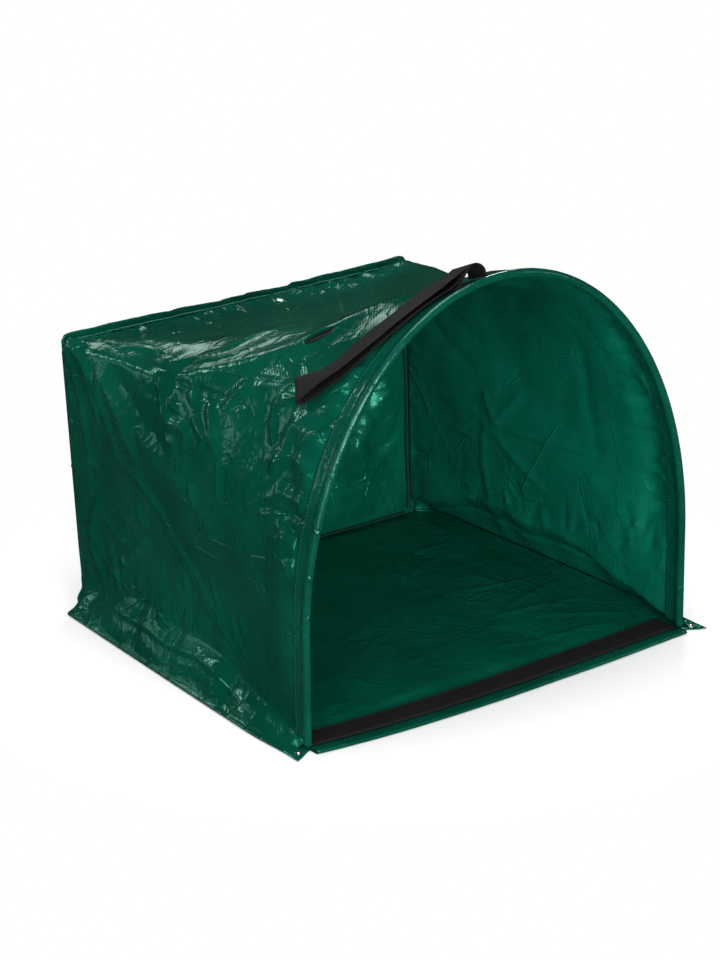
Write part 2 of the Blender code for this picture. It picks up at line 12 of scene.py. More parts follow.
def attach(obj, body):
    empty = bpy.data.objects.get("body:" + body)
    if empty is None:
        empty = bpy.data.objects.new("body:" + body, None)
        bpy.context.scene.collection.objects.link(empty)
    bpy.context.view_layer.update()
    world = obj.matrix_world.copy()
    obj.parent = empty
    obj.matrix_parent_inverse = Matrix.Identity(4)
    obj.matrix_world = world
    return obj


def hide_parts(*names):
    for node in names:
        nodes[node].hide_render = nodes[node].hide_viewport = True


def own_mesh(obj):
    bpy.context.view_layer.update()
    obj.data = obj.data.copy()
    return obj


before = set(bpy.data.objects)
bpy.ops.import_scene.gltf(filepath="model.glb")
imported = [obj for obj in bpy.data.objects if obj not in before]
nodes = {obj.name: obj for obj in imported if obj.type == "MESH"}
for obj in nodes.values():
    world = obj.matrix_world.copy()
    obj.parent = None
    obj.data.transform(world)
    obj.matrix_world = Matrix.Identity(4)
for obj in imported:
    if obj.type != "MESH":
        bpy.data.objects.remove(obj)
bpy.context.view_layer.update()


def placed(name, data):
    """A new object in the scene, at the origin."""
    made = bpy.data.objects.new(name, data)
    bpy.context.scene.collection.objects.link(made)
    return made


# Camera: stands to the left in front of the mouth, a little above the bag, with a long lens.
camera = placed("camera", bpy.data.cameras.new("camera"))
camera.data.lens = 129.96
camera.data.sensor_width = 36
camera.data.shift_x = -0.0108
camera.data.shift_y = -0.0382
yaw, pitch, roll = math.radians(36.415), math.radians(20.394), math.radians(0.524)
ahead = Vector((math.sin(yaw) * math.cos(pitch), math.cos(yaw) * math.cos(pitch), -math.sin(pitch)))
level = Vector((math.cos(yaw), -math.sin(yaw), 0))
below = ahead.cross(level)
rightward = level * math.cos(roll) + below * math.sin(roll)
downward = below * math.cos(roll) - level * math.sin(roll)
camera.matrix_world = Matrix.Translation((-2.5064, -3.3978, 1.8198)) @ Matrix(
    (rightward, -downward, -ahead)
).transposed().to_4x4()
bpy.context.scene.camera = camera
bpy.context.scene.view_settings.view_transform = "Standard"

# Hood sheet: one width of coated cloth that makes the left wall, the roof and the right wall.
# It hangs from the bent rod in front and from the rear seam behind, and its foot turns out
# into a flange on the ground. It is glossy outside and shows its woven tapes inside.
MOUTH_WIDTH, MOUTH_HEIGHT, LEG_HEIGHT = 0.600, 0.548, 0.142
BAG_DEPTH, REAR_HEIGHT, REAR_LEAN = 0.554, 0.373, 0.019
REAR_WIDTH_FOOT, REAR_WIDTH_TOP, REAR_CORNER, SEAM_FIN = 0.550, 0.564, 0.012, 0.012
PLY, PLAY = 0.0012, 0.0003
PLY_STEP = PLY + PLAY
FLANGE, FLANGE_SPREAD, POINT_REACH = 0.030, 0.0055, 0.0265
REAR_LIFT = 0.017
ROOF_SAG, POND_HALF_WIDTH, POND_REACH, POND_POWER, WALL_HOLLOW = 0.034, 0.272, 0.465, 2.8, 0.007
ROD_RADIUS, HEM_WIDTH = 0.003, 0.025
BULB = ROD_RADIUS + 2 * PLAY + 0.0007 + PLY / 2
MOUTH_Y, REAR_Y, HALF_MOUTH = -BAG_DEPTH / 2, BAG_DEPTH / 2, MOUTH_WIDTH / 2
ROOF_REAR = REAR_HEIGHT - SEAM_FIN
ROD_Y = MOUTH_Y + BULB - PLY / 2
ROD_SHARE = (ROD_Y - MOUTH_Y) / BAG_DEPTH
HOOD_FRONT_SHARE = (ROD_Y + BULB + PLAY - MOUTH_Y) / BAG_DEPTH
HEM_SHARE = (ROD_Y + HEM_WIDTH - MOUTH_Y) / BAG_DEPTH
SHOWN_THICKNESS = 0.0005


def between(low, high, share):
    return low + (high - low) * share


def soft_step(low, high, value):
    share = np.clip((value - low) / (high - low), 0.0, 1.0)
    return share * share * (3 - 2 * share)


def lifted(y):
    """Share by which the cloth stands higher towards the rear end, where its stiff seam holds it up."""
    return 1 + REAR_LIFT * soft_step(-0.1, REAR_Y, y)


def flange_width(y):
    """The flange widens from the point at the front to its full width."""
    return FLANGE + FLANGE_SPREAD * soft_step(MOUTH_Y + 0.01, MOUTH_Y + 0.10, y)


def slack(depth):
    """1 where the cloth hangs most freely, 0 in the hem and at the rear seam."""
    return math.sin(math.pi * min(1.0, max(0.0, (depth - HEM_SHARE) / (1 - HEM_SHARE))))


# The ledge over the foot: its places along the bag and the heights between which it leans in; and
# the profile of the skirt under it, from the edge of the flange inwards.
LEDGE_Y = np.array((-277, -235, -194, -155, -118, -83, -38, 29, 89, 130, 163, 200, 250, 290)) / 1000
LEDGE_LOW = np.array((10, 40, 150, 200, 210, 360, 410, 320, 355, 340, 360, 230, 120, 80)) / 10000
LEDGE_HIGH = np.array((4, 9, 21, 27, 42, 53, 58, 55, 62, 56, 51, 37, 24, 18)) / 1000
SKIRT_OUT = (1.0, 0.93, 0.86, 0.72, 0.60, 0.48, 0.46, 0.50)
SKIRT_RISE = (0.0, 0.02, 0.10, 0.38, 0.66, 0.86, 0.93, 1.0)
SKIRT_SHARES = (0.0, 0.10, 0.24, 0.46, 0.68, 0.86, 0.93, 1.0)


class Section:
    """The hood's cross-section: the arch and the rear square, mixed by the depth."""

    def __init__(self, depth):
        self.wall = between(LEG_HEIGHT, ROOF_REAR - REAR_CORNER, depth)
        self.across = between(HALF_MOUTH, REAR_CORNER, depth)
        self.up = between(MOUTH_HEIGHT - LEG_HEIGHT, REAR_CORNER, depth)
        self.flat = depth * (REAR_WIDTH_TOP / 2 - REAR_CORNER)
        self.foot = between(HALF_MOUTH, REAR_WIDTH_FOOT / 2, depth)
        self.ground = PLY / 2 + PLY_STEP
        y = MOUTH_Y + depth * BAG_DEPTH
        self.ledge_low = float(np.interp(y, LEDGE_Y, LEDGE_LOW))
        self.ledge_high = float(np.interp(y, LEDGE_Y, LEDGE_HIGH))
        self.flare = self.ledge_high + 0.004
        self.flange = flange_width(y)

    def point(self, part, share):
        """Place (x, z) and outward normal on the right-hand half, from flange to middle.

        The foot leaves the ground as a steep skirt under a soft ledge that leans into the wall.
        """
        if part == "flange":
            across = np.interp(share, SKIRT_SHARES, SKIRT_OUT)
            rise = np.interp(share, SKIRT_SHARES, SKIRT_RISE)
            return self.foot + self.flange * across, self.ground + self.ledge_low * rise, 1.0, 0.0
        if part == "flare":
            low, high = self.ledge_low, self.flare
            x = self.foot + self.flange * 0.5 * (1 - share) ** 1.3
            z = self.ground + between(low, high, share)
            nx, nz = 1.0, 0.5
        elif part == "wall":
            z = between(self.ground + self.flare, self.wall, share)
            x = between(self.foot, self.flat + self.across, z / self.wall)
            nx, nz = 1.0, 0.0
        elif part == "corner":
            turn = (1 - share) * math.pi / 2
            x = self.flat + self.across * math.sin(turn)
            z = self.wall + self.up * math.cos(turn)
            nx, nz = math.sin(turn) / self.across, math.cos(turn) / self.up
        else:
            x, z, nx, nz = self.flat * (1 - share), self.wall + self.up, 0.0, 1.0
        length = math.hypot(nx, nz)
        return x, z, nx / length, nz / length


def pond(x, y):
    """How far the roof sags behind the taut ridge that runs from the rear corners to the crown."""
    rear = REAR_Y + REAR_LEAN * ROOF_REAR / REAR_HEIGHT
    edge = (abs(x) / POND_HALF_WIDTH) ** POND_POWER
    edge += (max(0.0, rear - y) / POND_REACH) ** POND_POWER
    held = 1 - max(0.0, 1 - (rear - y) / POND_REACH) ** 5
    return ROOF_SAG * max(0.0, 1 - edge) ** 0.8 * held


def hood_point(depth, side, part, share, lift=0.0):
    """A point of the hood as it hangs, raised along its normal by lift."""
    x, z, nx, nz = Section(depth).point(part, share)
    y = MOUTH_Y + depth * (BAG_DEPTH + REAR_LEAN * z / REAR_HEIGHT)
    push = lift
    if part == "wall":
        push -= WALL_HOLLOW * math.sin(math.pi * share) * slack(depth)
    if part in ("corner", "roof"):
        z -= pond(x, y)
    return Vector((side * (x + nx * push), y, float(z * lifted(y) + nz * push)))


def feed(target, value):
    """Joins a socket to the one of a finish, or gives it a plain value."""
    if isinstance(value, Paint):
        value.tree.links.new(value.socket, target)
    else:
        target.default_value = value


class Paint:
    """One socket of a finish. Sums and products of it add the nodes that they need."""

    def __init__(self, tree, socket=None):
        self.tree = tree
        self.socket = socket

    def node(self, kind, settings, inputs, out=0):
        """Adds a node, sets it up, joins or fills its sockets and returns the one named out."""
        made = self.tree.nodes.new(kind)
        for name, value in settings.items():
            setattr(made, name, value)
        for name, value in inputs.items():
            feed(made.inputs[name], value)
        return Paint(self.tree, made.outputs[out])

    def maths(self, operation, first, second=0.0):
        return self.node("ShaderNodeMath", {"operation": operation}, {0: first, 1: second})

    def sine(self):
        return self.maths("SINE", self)

    def size(self):
        return self.maths("ABSOLUTE", self)

    def axis(self, number):
        """One coordinate of this place."""
        return self.node("ShaderNodeSeparateXYZ", {}, {0: self}, number)

    def uv(self, name):
        """A map of the mesh: its place, along and across."""
        flat = self.node("ShaderNodeUVMap", {"uv_map": name}, {}, "UV")
        return flat, flat.axis(0), flat.axis(1)

    def clear(self, low, high):
        """0 below low and 1 above high, with a soft way between."""
        settings = {"interpolation_type": "SMOOTHSTEP"}
        return self.node("ShaderNodeMapRange", settings, {0: self, 1: low, 2: high})

    def stretch(self, scale):
        """The same place, stretched by scale along each axis."""
        return self.node("ShaderNodeVectorMath", {"operation": "MULTIPLY"}, {0: self, 1: scale})

    def cloud(self, scale, detail=2.0, rough=0.5, out=0):
        """Soft noise from 0 to 1 at this place."""
        inputs = {"Vector": self, "Scale": scale, "Detail": detail, "Roughness": rough}
        return self.node("ShaderNodeTexNoise", {}, inputs, out)

    def cells(self, scale, feature="F1"):
        """Distance to the nearest random point, or to the border between two of them."""
        return self.node("ShaderNodeTexVoronoi", {"feature": feature}, {"Vector": self, "Scale": scale})

    def tone(self, dark, light):
        """A colour between two, by this mask."""
        return self.node("ShaderNodeMix", {"data_type": "RGBA"}, {0: self, 6: (*dark, 1), 7: (*light, 1)}, 2)

    def relief(self, height, below=None):
        """A normal raised by this mask, in metres, over another normal."""
        inputs = {"Strength": 1.0, "Distance": height, "Height": self}
        if below is not None:
            inputs["Normal"] = below
        return self.node("ShaderNodeBump", {}, inputs)


for mark, sum_kind in (("add", "ADD"), ("sub", "SUBTRACT"), ("mul", "MULTIPLY")):
    setattr(Paint, f"__{mark}__", lambda self, other, kind=sum_kind: self.maths(kind, self, other))
    setattr(Paint, f"__r{mark}__", lambda self, other, kind=sum_kind: self.maths(kind, other, self))


def finish(name):
    """A new material, its shader and its place on the piece."""
    made = bpy.data.materials.new(name)
    made.use_nodes = True
    place = Paint(made.node_tree).node("ShaderNodeTexCoord", {}, {}, "Object")
    return made, made.node_tree.nodes["Principled BSDF"], place


def join(shader, **sockets):
    """Feeds the shader's sockets, whose names are written with _ for blanks."""
    for name, value in sockets.items():
        feed(shader.inputs[name.replace("_", " ")], value)


def grained(name, dark, light, scales, detail, roughness, spread, height, **more):
    """A plain finish whose grain also mottles its colour and its gloss."""
    made, shader, place = finish(name)
    grain = place.stretch(scales).cloud(1.0, detail)
    tone = grain.tone(dark, light)
    join(shader, Base_Color=tone, Roughness=roughness + grain * spread, Normal=grain.relief(height), **more)
    return made


TAPE_PITCH = 0.0024
DEEP_GREEN, BRIGHT_GREEN = (0.0003, 0.036, 0.0215), (0.0010, 0.060, 0.0365)
PALE_GREEN = (0.0012, 0.105, 0.064)
GLOSS_TINT, HEM_TINT = (0.16, 1.0, 0.66, 1), (0.60, 1.0, 0.86, 1)
SHARP_HEIGHT = 0.0009


def coated_cloth(name, dark, light, shine, gloss, weave_height, crinkle, grid, tint=GLOSS_TINT):
    """Woven flat tapes under a clear coat: the tapes show as a faint grid, folds as fine facets."""
    made, shader, place = finish(name)
    flat, along, across = place.uv("weave")
    turn = math.pi / TAPE_PITCH
    weave = (along * turn).sine() * (across * turn).sine()
    warp = flat.stretch((16.0, 420.0, 1.0)).cloud(1.0, 1.0)
    weft = flat.stretch((420.0, 16.0, 1.0)).cloud(1.0, 1.0)
    tapes = (warp + weft) * 0.5
    smear = place.cloud(9.0, 3.0)
    shade = tapes.clear(0.32, 0.68) * grid + smear.clear(0.3, 0.7) * (1 - grid)
    swirl = {0: place.cloud(18.0, out="Color"), 1: (0.05, 0.05, 0.05), 2: place}
    bent = place.node("ShaderNodeVectorMath", {"operation": "MULTIPLY_ADD"}, swirl)
    height = place.axis(2)
    where = place.cloud(8.0).clear(0.48, 0.66) * (1.0 - height.clear(0.37, 0.42) * 0.8)
    ridge = 1.0 - (place.cloud(24.0, 2.0, 0.4) - 0.5).size().clear(0.0, 0.05)
    kinked = 1.0 - bent.cells(11.0, "DISTANCE_TO_EDGE").clear(0.0, 0.024)
    kinked = kinked * place.cloud(6.0, 1.0).clear(0.46, 0.56) * (1.0 - height.clear(0.32, 0.40) * 0.8)
    _, fold_off, fold_near = place.uv("fold")
    sharp = (1.0 - fold_off.size().clear(0.0, 0.0024)) * fold_near.clear(0.3, 0.8)
    sharp = sharp * place.cloud(17.0, 1.0).clear(0.36, 0.54)
    normal = None
    for mask, rise in (
        (bent.cells(52.0), crinkle), (bent.cells(150.0) * where, crinkle * 0.65), (ridge, crinkle * 0.45),
        (kinked, crinkle * 1.2), (sharp, SHARP_HEIGHT), (weave, weave_height),
    ):
        normal = mask.relief(rise, normal)
    roughness = shine + smear * 0.10 + (tapes - 0.5) * 0.06
    join(shader, Base_Color=shade.tone(dark, light), Roughness=roughness, Normal=normal)
    join(shader, Specular_Tint=tint, Specular_IOR_Level=gloss)
    return made


CLOTH_OUTSIDE = coated_cloth("cloth_outside", DEEP_GREEN, BRIGHT_GREEN, 0.12, 0.55, 0.00004, 0.0006, 0.22)
# The inner face is lighter than the outside: partly the cloth's own matt inner face, partly painted light for
# the light that comes in through the mouth.
CLOTH_INSIDE = coated_cloth(
    "cloth_inside", (0.0007, 0.078, 0.048), (0.0014, 0.122, 0.076), 0.34, 0.45, 0.00010, 0.0004, 0.55
)
# The rear sheet's inner face: glossy like the outside and lighter, partly the cloth's own inner tone, partly
# painted light for the front light that falls on it through the mouth.
CLOTH_REAR = coated_cloth("cloth_rear", BRIGHT_GREEN, PALE_GREEN, 0.19, 0.50, 0.00004, 0.0009, 0.35)
CLOTH_HEM = coated_cloth(
    "cloth_hem", (0.0004, 0.037, 0.023), (0.0011, 0.061, 0.038), 0.11, 0.36, 0.00002, 0.0006, 0.25, HEM_TINT
)


def pick(piece):
    bpy.ops.object.select_all(action="DESELECT")
    piece.select_set(True)
    bpy.context.view_layer.objects.active = piece


def apply_all(piece):
    pick(piece)
    for change in list(piece.modifiers):
        bpy.ops.object.modifier_apply(modifier=change.name)


def turn_outwards(piece, degrees):
    """Turns all faces outwards and shades them smooth but for edges sharper than this."""
    pick(piece)
    bpy.ops.object.mode_set(mode="EDIT")
    bpy.ops.mesh.select_all(action="SELECT")
    bpy.ops.mesh.normals_make_consistent(inside=False)
    bpy.ops.object.mode_set(mode="OBJECT")
    bpy.ops.object.shade_smooth_by_angle(angle=math.radians(degrees))


def new_mesh(name, points, edges, faces):
    mesh = bpy.data.meshes.new(name)
    mesh.from_pydata(points, edges, faces)
    return mesh


def wobble(x, y, z=0.0):
    """Smooth noise from -1 to 1."""
    return noise.noise(Vector((x, y, z)))


def waves(points, scale, height):
    """Slow swells over a grid of points."""
    swells = [height * noise.noise(Vector(spot) * scale) for spot in points.reshape(-1, 3)]
    return np.array(swells).reshape(points.shape[:2])


def reach_along(path):
    """Length passed at each point of a path."""
    return np.r_[0, np.cumsum(np.linalg.norm(np.diff(path, axis=0), axis=1))]


def at_reach(steps, reach, path):
    """The path's places at these lengths."""
    return np.stack([np.interp(steps, reach, path[:, k]) for k in range(path.shape[1])], 1)


def unit(rows):
    return rows / np.linalg.norm(rows, axis=1, keepdims=True)


def grid_quads(rows, columns, closed=False):
    """Quads of a grid stored row after row; closed joins each row's last point to its first."""
    r, c = np.meshgrid(np.arange(rows - 1), np.arange(columns if closed else columns - 1), indexing="ij")
    n = (c + 1) % columns
    quads = np.stack([r * columns + c, r * columns + n, (r + 1) * columns + n, (r + 1) * columns + c], -1)
    return quads.reshape(-1, 4)


def mesh_piece(name, points, faces, flat, finishes, marks=None):
    """A smooth mesh with its place in its points and a map of its weave, both in metres."""
    points = np.asarray(points, float).reshape(-1, 3).tolist()
    mesh = new_mesh(name, points, [], [list(map(int, face)) for face in faces])
    corners = np.concatenate([np.asarray(face, int) for face in faces])
    for map_name, values in (("weave", flat), ("fold", marks)):
        if values is not None:
            layer = mesh.uv_layers.new(name=map_name)
            layer.data.foreach_set("uv", np.asarray(values, float).reshape(-1, 2)[corners].ravel())
    for one in finishes:
        mesh.materials.append(one)
    mesh.shade_smooth()
    return placed(name, mesh)


def sheet_piece(name, points, flat, finishes, marks=None):
    """A grid of cloth with its thickness; the second finish is for the side its normals leave."""
    piece = mesh_piece(name, points, grid_quads(*points.shape[:2]), flat, finishes, marks)
    solid = piece.modifiers.new("thickness", "SOLIDIFY")
    solid.thickness = SHOWN_THICKNESS
    solid.offset = 0
    solid.material_offset = len(finishes) - 1
    apply_all(piece)
    return piece


def grid_normals(points):
    down = np.gradient(points, axis=0)
    over = np.gradient(points, axis=1)
    normal = np.cross(over, down)
    return normal / np.maximum(np.linalg.norm(normal, axis=-1, keepdims=True), 1e-12)


def near_line(flat, line):
    """Distance of each place to a broken line, and the share of the line that lies before it."""
    line = np.asarray(line, float)
    lengths = np.linalg.norm(np.diff(line, axis=0), axis=1)
    nearest = np.full(flat.shape[:-1], 9.0)
    share = np.zeros(flat.shape[:-1])
    passed = 0.0
    for start, end, length in zip(line, line[1:], lengths):
        t = np.clip(((flat - start) @ (end - start)) / length**2, 0, 1)
        off = np.linalg.norm(flat - start - t[..., None] * (end - start), axis=-1)
        closer = off < nearest
        nearest = np.where(closer, off, nearest)
        share = np.where(closer, (passed + t * length) / lengths.sum(), share)
        passed += length
    return nearest, share


def crease(flat, line, height, width, start_soft=0.15, end_soft=0.3, sharp=1.15):
    """A tent-shaped fold along a line of the flat cloth, in metres, that fades at its ends."""
    off, share = near_line(flat, line)
    fade = np.clip(share / start_soft, 0, 1) * np.clip((1 - share) / end_soft, 0, 1)
    return height * np.clip(1 - off / width, 0, 1) ** sharp * fade**0.7


def fold_marks(flat, lines):
    """Signed distance to the nearest line and how near it is: the finish draws its sharp edge there."""
    nearest = np.full(flat.shape[:-1], 9.0)
    signed = np.zeros(flat.shape[:-1])
    for line in lines:
        line = np.asarray(line, float)
        for start, end in zip(line, line[1:]):
            length = np.linalg.norm(end - start)
            way = (end - start) / length
            off = flat - start - np.clip((flat - start) @ way, 0, length)[..., None] * way
            far = np.linalg.norm(off, axis=-1)
            side = np.sign(off[..., 1] * way[0] - off[..., 0] * way[1])
            signed = np.where(far < nearest, side * far, signed)
            nearest = np.minimum(far, nearest)
    return np.stack([signed, np.clip(1 - nearest / 0.009, 0, 1)], -1)


def facets(flat, spacing, height, turn=0.0, stretch=1.0):
    """Crushed cloth: random knots joined by flat facets with sharp folds between, in metres."""
    way = np.array([(math.cos(turn), math.sin(turn)), (-math.sin(turn), math.cos(turn))])
    place = flat.reshape(-1, 2) @ way.T / (spacing * stretch, spacing)
    low = np.floor(place.min(0)).astype(int) - 1
    high = np.ceil(place.max(0)).astype(int) + 2
    knots = np.array([(x, y) for x in range(low[0], high[0]) for y in range(low[1], high[1])], float)
    knots += chance.uniform(-0.46, 0.46, knots.shape)
    rises = chance.normal(0, height, len(knots))
    cells = {}
    for index, (x, y) in enumerate(np.floor(place).astype(int)):
        cells.setdefault((x, y), []).append(index)
    result = np.zeros(len(place))
    spots, _, triangles, sources, _, _ = geometry.delaunay_2d_cdt([Vector(k) for k in knots], [], [], 0, 1e-7)
    for triangle in triangles:
        a, b, c = (np.array(spots[k]) for k in triangle)
        x_low, y_low = np.floor(np.minimum(np.minimum(a, b), c)).astype(int)
        x_high, y_high = np.floor(np.maximum(np.maximum(a, b), c)).astype(int)
        columns, rows = range(x_low, x_high + 1), range(y_low, y_high + 1)
        near = [i for x in columns for y in rows for i in cells.get((x, y), ())]
        if not near:
            continue
        near = np.array(near)
        over = place[near] - a
        whole = (b - a)[0] * (c - a)[1] - (b - a)[1] * (c - a)[0]
        second = (over[:, 0] * (c - a)[1] - over[:, 1] * (c - a)[0]) / whole
        third = (over[:, 1] * (b - a)[0] - over[:, 0] * (b - a)[1]) / whole
        within = (second >= -1e-6) & (third >= -1e-6) & (second + third <= 1 + 1e-6)
        first_rise, second_rise, third_rise = (rises[sources[k][0]] for k in triangle)
        value = first_rise + second * (second_rise - first_rise) + third * (third_rise - first_rise)
        result[near[within]] = value[within]
    return result.reshape(flat.shape[:-1])


HOOD_ROWS, HALF_COLUMNS = 132, 172
FINE_STATIONS = (
    [("flange", k / 16) for k in range(16)]
    + [("flare", k / 16) for k in range(16)]
    + [("wall", k / 60) for k in range(60)]
    + [("corner", k / 150) for k in range(150)]
    + [("roof", k / 60) for k in range(61)]
)


def hood_row(depth):
    """Evenly spaced points from the left flange over the crown to the right, and their reach."""
    half = np.array([hood_point(depth, 1, part, share) for part, share in FINE_STATIONS])
    reach = reach_along(half)
    steps = np.linspace(0, reach[-1], HALF_COLUMNS + 1)
    right = at_reach(steps, reach, half)
    left = right * (-1, 1, 1)
    return np.vstack([left, right[-2::-1]]), np.r_[steps - reach[-1], (reach[-1] - steps)[-2::-1]]


hood_depths = np.r_[HOOD_FRONT_SHARE, np.linspace(HEM_SHARE, 1 + PLY / 2 / BAG_DEPTH, HOOD_ROWS)]
hood_rows = [hood_row(depth) for depth in hood_depths]
hood = np.array([row for row, _ in hood_rows])
hood_u = np.repeat(hood_depths[:, None] * BAG_DEPTH, hood.shape[1], 1)
hood_flat = np.stack([hood_u, np.array([v for _, v in hood_rows])], -1)
hood_v = hood_flat[..., 1]
hood_out = grid_normals(hood)


SHARP_WIDTH = 12.5


def folds(flat, table):
    """Adds up the folds of a table and lists the lines of its narrow raised ones.

    Places and widths are in millimetres, heights in tenths of a millimetre.
    """
    total = np.zeros(flat.shape[:2])
    lines = []
    for places, height, width in table:
        line = np.array(places).reshape(-1, 2) / 1000
        total += crease(flat, line, height / 10000, width / 1000)
        if width < SHARP_WIDTH and height > 0:
            lines.append(line)
    return total, lines


# The long folds that the cloth keeps from its packing and from how it is held: the places of a line
# on the flat cloth (along the bag, across it), the height outwards and half the width.
PLACED_FOLDS = (
    ((466, -395, 426, -403, 374, -423, 330, -456, 306, -493), 40, 10),
    ((330, -456, 306, -493, 257, -540, 185, -594, 153, -620), 30, 8),
    ((322, -468, 285, -502, 241, -542, 177, -587, 141, -615), 26, 7),
    ((354, -481, 406, -521, 454, -570, 494, -608), 34, 9),
    ((482, -464, 510, -506, 518, -540, 506, -582, 494, -612), 56, 12),
    ((538, -506, 514, -532, 490, -566, 478, -574), 30, 8),
    ((490, -498, 458, -516, 446, -524, 418, -528), 38, 9), ((402, -460, 390, -479, 370, -484), 38, 11),
    ((322, -465, 281, -468, 205, -461, 125, -470, 81, -467), 20, 10), ((257, -397, 245, -421), 28, 8),
    ((205, -358, 197, -414), 22, 8), ((466, -566, 454, -577, 454, -604), 28, 8),
    ((446, -543, 434, -554), 26, 7), ((161, -555, 153, -580, 133, -585), 30, 8),
    ((197, -639, 149, -661), 26, 8), ((105, -395, 81, -381), 24, 7), ((113, -415, 69, -407), 26, 7),
    ((145, -514, 97, -506), 24, 7), ((41, -416, 33, -475, 29, -530), 16, 9),
    ((358, -576, 346, -593, 318, -607), 40, 10), ((73, -629, 57, -653, 45, -673), 26, 9),
    ((554, -273, 530, -312, 514, -354, 506, -418), 40, 11),
    ((550, -270, 502, -296, 474, -353, 466, -391), 40, 12),
    ((518, -285, 478, -319, 450, -364, 430, -410), 30, 12),
    ((454, -289, 406, -312, 354, -344, 298, -374), -50, 26),
    ((482, -296, 422, -342, 394, -384, 382, -415), 40, 20),
    ((350, -279, 338, -299, 330, -314, 330, -341), 46, 9),
    ((330, -314, 314, -327, 289, -328, 273, -337, 281, -360), 44, 10),
    ((289, -266, 289, -282, 277, -294, 265, -299), 44, 9),
    ((273, -306, 257, -323, 237, -336, 249, -358, 245, -370), 44, 10),
    ((318, -292, 318, -304, 298, -312), 40, 10), ((322, -346, 302, -351, 294, -363), 36, 9),
    ((253, -284, 241, -304, 225, -333, 201, -363), 38, 11),
    ((221, -298, 217, -279, 205, -264, 197, -249), 50, 14),
    ((121, -329, 133, -303, 141, -277, 125, -271, 105, -261), 42, 9),
    ((113, -354, 97, -343, 85, -336), 36, 10), ((73, -275, 97, -306, 105, -342, 109, -375), 40, 18),
    ((590, -270, 518, -283, 458, -278, 390, -274, 340, -276), 40, 22),
    ((386, -272, 306, -275, 269, -278, 225, -281, 170, -282), -35, 10),
    ((390, -276, 322, -268, 298, -256, 245, -234, 197, -214, 150, -184), 50, 26),
    ((165, -190, 130, -155, 95, -100, 70, -30), 30, 26),
    ((550, -243, 454, -251, 414, -243, 350, -241), 20, 10),
    ((350, -252, 289, -216, 261, -171, 237, -144), 30, 10), ((318, -240, 261, -219, 221, -184), 26, 9),
    ((482, -80, 400, -130, 294, -189), 22, 7), ((526, -53, 554, -47), 32, 7), ((506, -22, 554, -8), 34, 7),
    ((462, 18, 554, 45), 30, 8), ((450, -98, 518, -87), 26, 8),
    ((590, 270, 500, 281, 400, 275, 300, 262, 200, 215, 140, 150), 100, 36),
    ((386, 422, 374, 442, 358, 462), -36, 10), ((310, 410, 334, 433, 358, 462, 374, 469), -32, 10),
    ((374, 469, 366, 477, 326, 503, 250, 550), -34, 10), ((374, 469, 386, 487, 390, 529, 380, 600), -30, 10),
    ((374, 469, 420, 455, 480, 460), -22, 10), ((554, 300, 470, 370, 400, 400), 34, 16),
    ((160, 300, 180, 400, 160, 500), 30, 20),
)
# Puckers at the rear seam: place across the cloth, length, drift sideways and height.
FIN_PUCKERS = (
    (-215, 30, -12, 30), (-120, 34, 10, 34), (-30, 28, -6, 30), (20, 36, 12, 42), (52, 40, -10, 46),
    (85, 46, 12, 50), (112, 36, 2, 46), (140, 50, 16, 56), (172, 44, -8, 52), (200, 48, 10, 52),
    (232, 36, 4, 44),
)
REAR_LINE = 1000 * BAG_DEPTH
PLACED_FOLDS += tuple(
    ((REAR_LINE, across, REAR_LINE - long, across + drift), height, 13)
    for across, long, drift, height in FIN_PUCKERS
)
raised, sharp_lines = folds(hood_flat, PLACED_FOLDS)

# Small folds: puckers at the hem and the rear seam, drags at the foot and straight packing lines.
chance = np.random.default_rng(11)
draw, choose, stray = chance.uniform, chance.choice, chance.normal
LONG_FOLD = 0.07


def scatter(flat, count, start, tilt, long, height, width, start_soft=0.15, end_soft=0.3, marks=None):
    """Adds short straight folds; each setting is called for every fold."""
    total = np.zeros(flat.shape[:2])
    for _ in range(count):
        begin, turn = np.array(start()), tilt()
        end = begin + long() * np.array([math.cos(turn), math.sin(turn)])
        total += crease(flat, (begin, end), height(), width(), start_soft, end_soft)
        if marks is not None and np.linalg.norm(end - begin) > LONG_FOLD:
            marks.append((begin, end))
    return total


hem_u = HEM_SHARE * BAG_DEPTH
arch_places = np.r_[draw(-0.66, 0.66, 120), draw(0.22, 0.56, 46), draw(-0.5, -0.2, 24)]
for across in arch_places:
    shoulder = math.exp(-(((abs(across) - 0.40) / 0.16) ** 2))
    long = draw(0.020, 0.050) * (1 + 0.9 * shoulder)
    tilt = stray(0, 0.30)
    begin = np.array([hem_u - 0.004, across])
    end = begin + long * np.array([math.cos(tilt), math.sin(tilt)])
    height = draw(0.0008, 0.0020) * (1 + 1.1 * shoulder) * choose((1, 1, -1))
    raised += crease(hood_flat, (begin, end), height, draw(0.006, 0.012), 0.05, 0.8)
raised += scatter(
    hood_flat, 110, lambda: (BAG_DEPTH, draw(-0.64, 0.64)), lambda: math.pi + stray(0, 0.3),
    lambda: draw(0.015, 0.060), lambda: draw(0.0010, 0.0028) * choose((1, -1)),
    lambda: draw(0.005, 0.010), 0.05, 0.7, sharp_lines,
)
for side in (-1, 1):
    raised += scatter(
        hood_flat, 34, lambda: (draw(0.06, 0.53), side * draw(0.575, 0.625)),
        lambda: -side * math.pi / 2 + draw(-0.9, 0.9), lambda: draw(0.02, 0.08),
        lambda: draw(0.0012, 0.0034) * choose((1, 1, -1)), lambda: draw(0.006, 0.012), 0.3, 0.6, sharp_lines,
    )
raised += scatter(
    hood_flat, 30, lambda: (draw(0.06, 0.52), draw(-0.6, 0.6)),
    lambda: choose((0.0, math.pi / 2, 0.9, -0.9)) + stray(0, 0.12), lambda: draw(0.08, 0.24),
    lambda: draw(0.0006, 0.0014) * choose((1, -1)), lambda: draw(0.005, 0.008), 0.2, 0.2, sharp_lines,
)

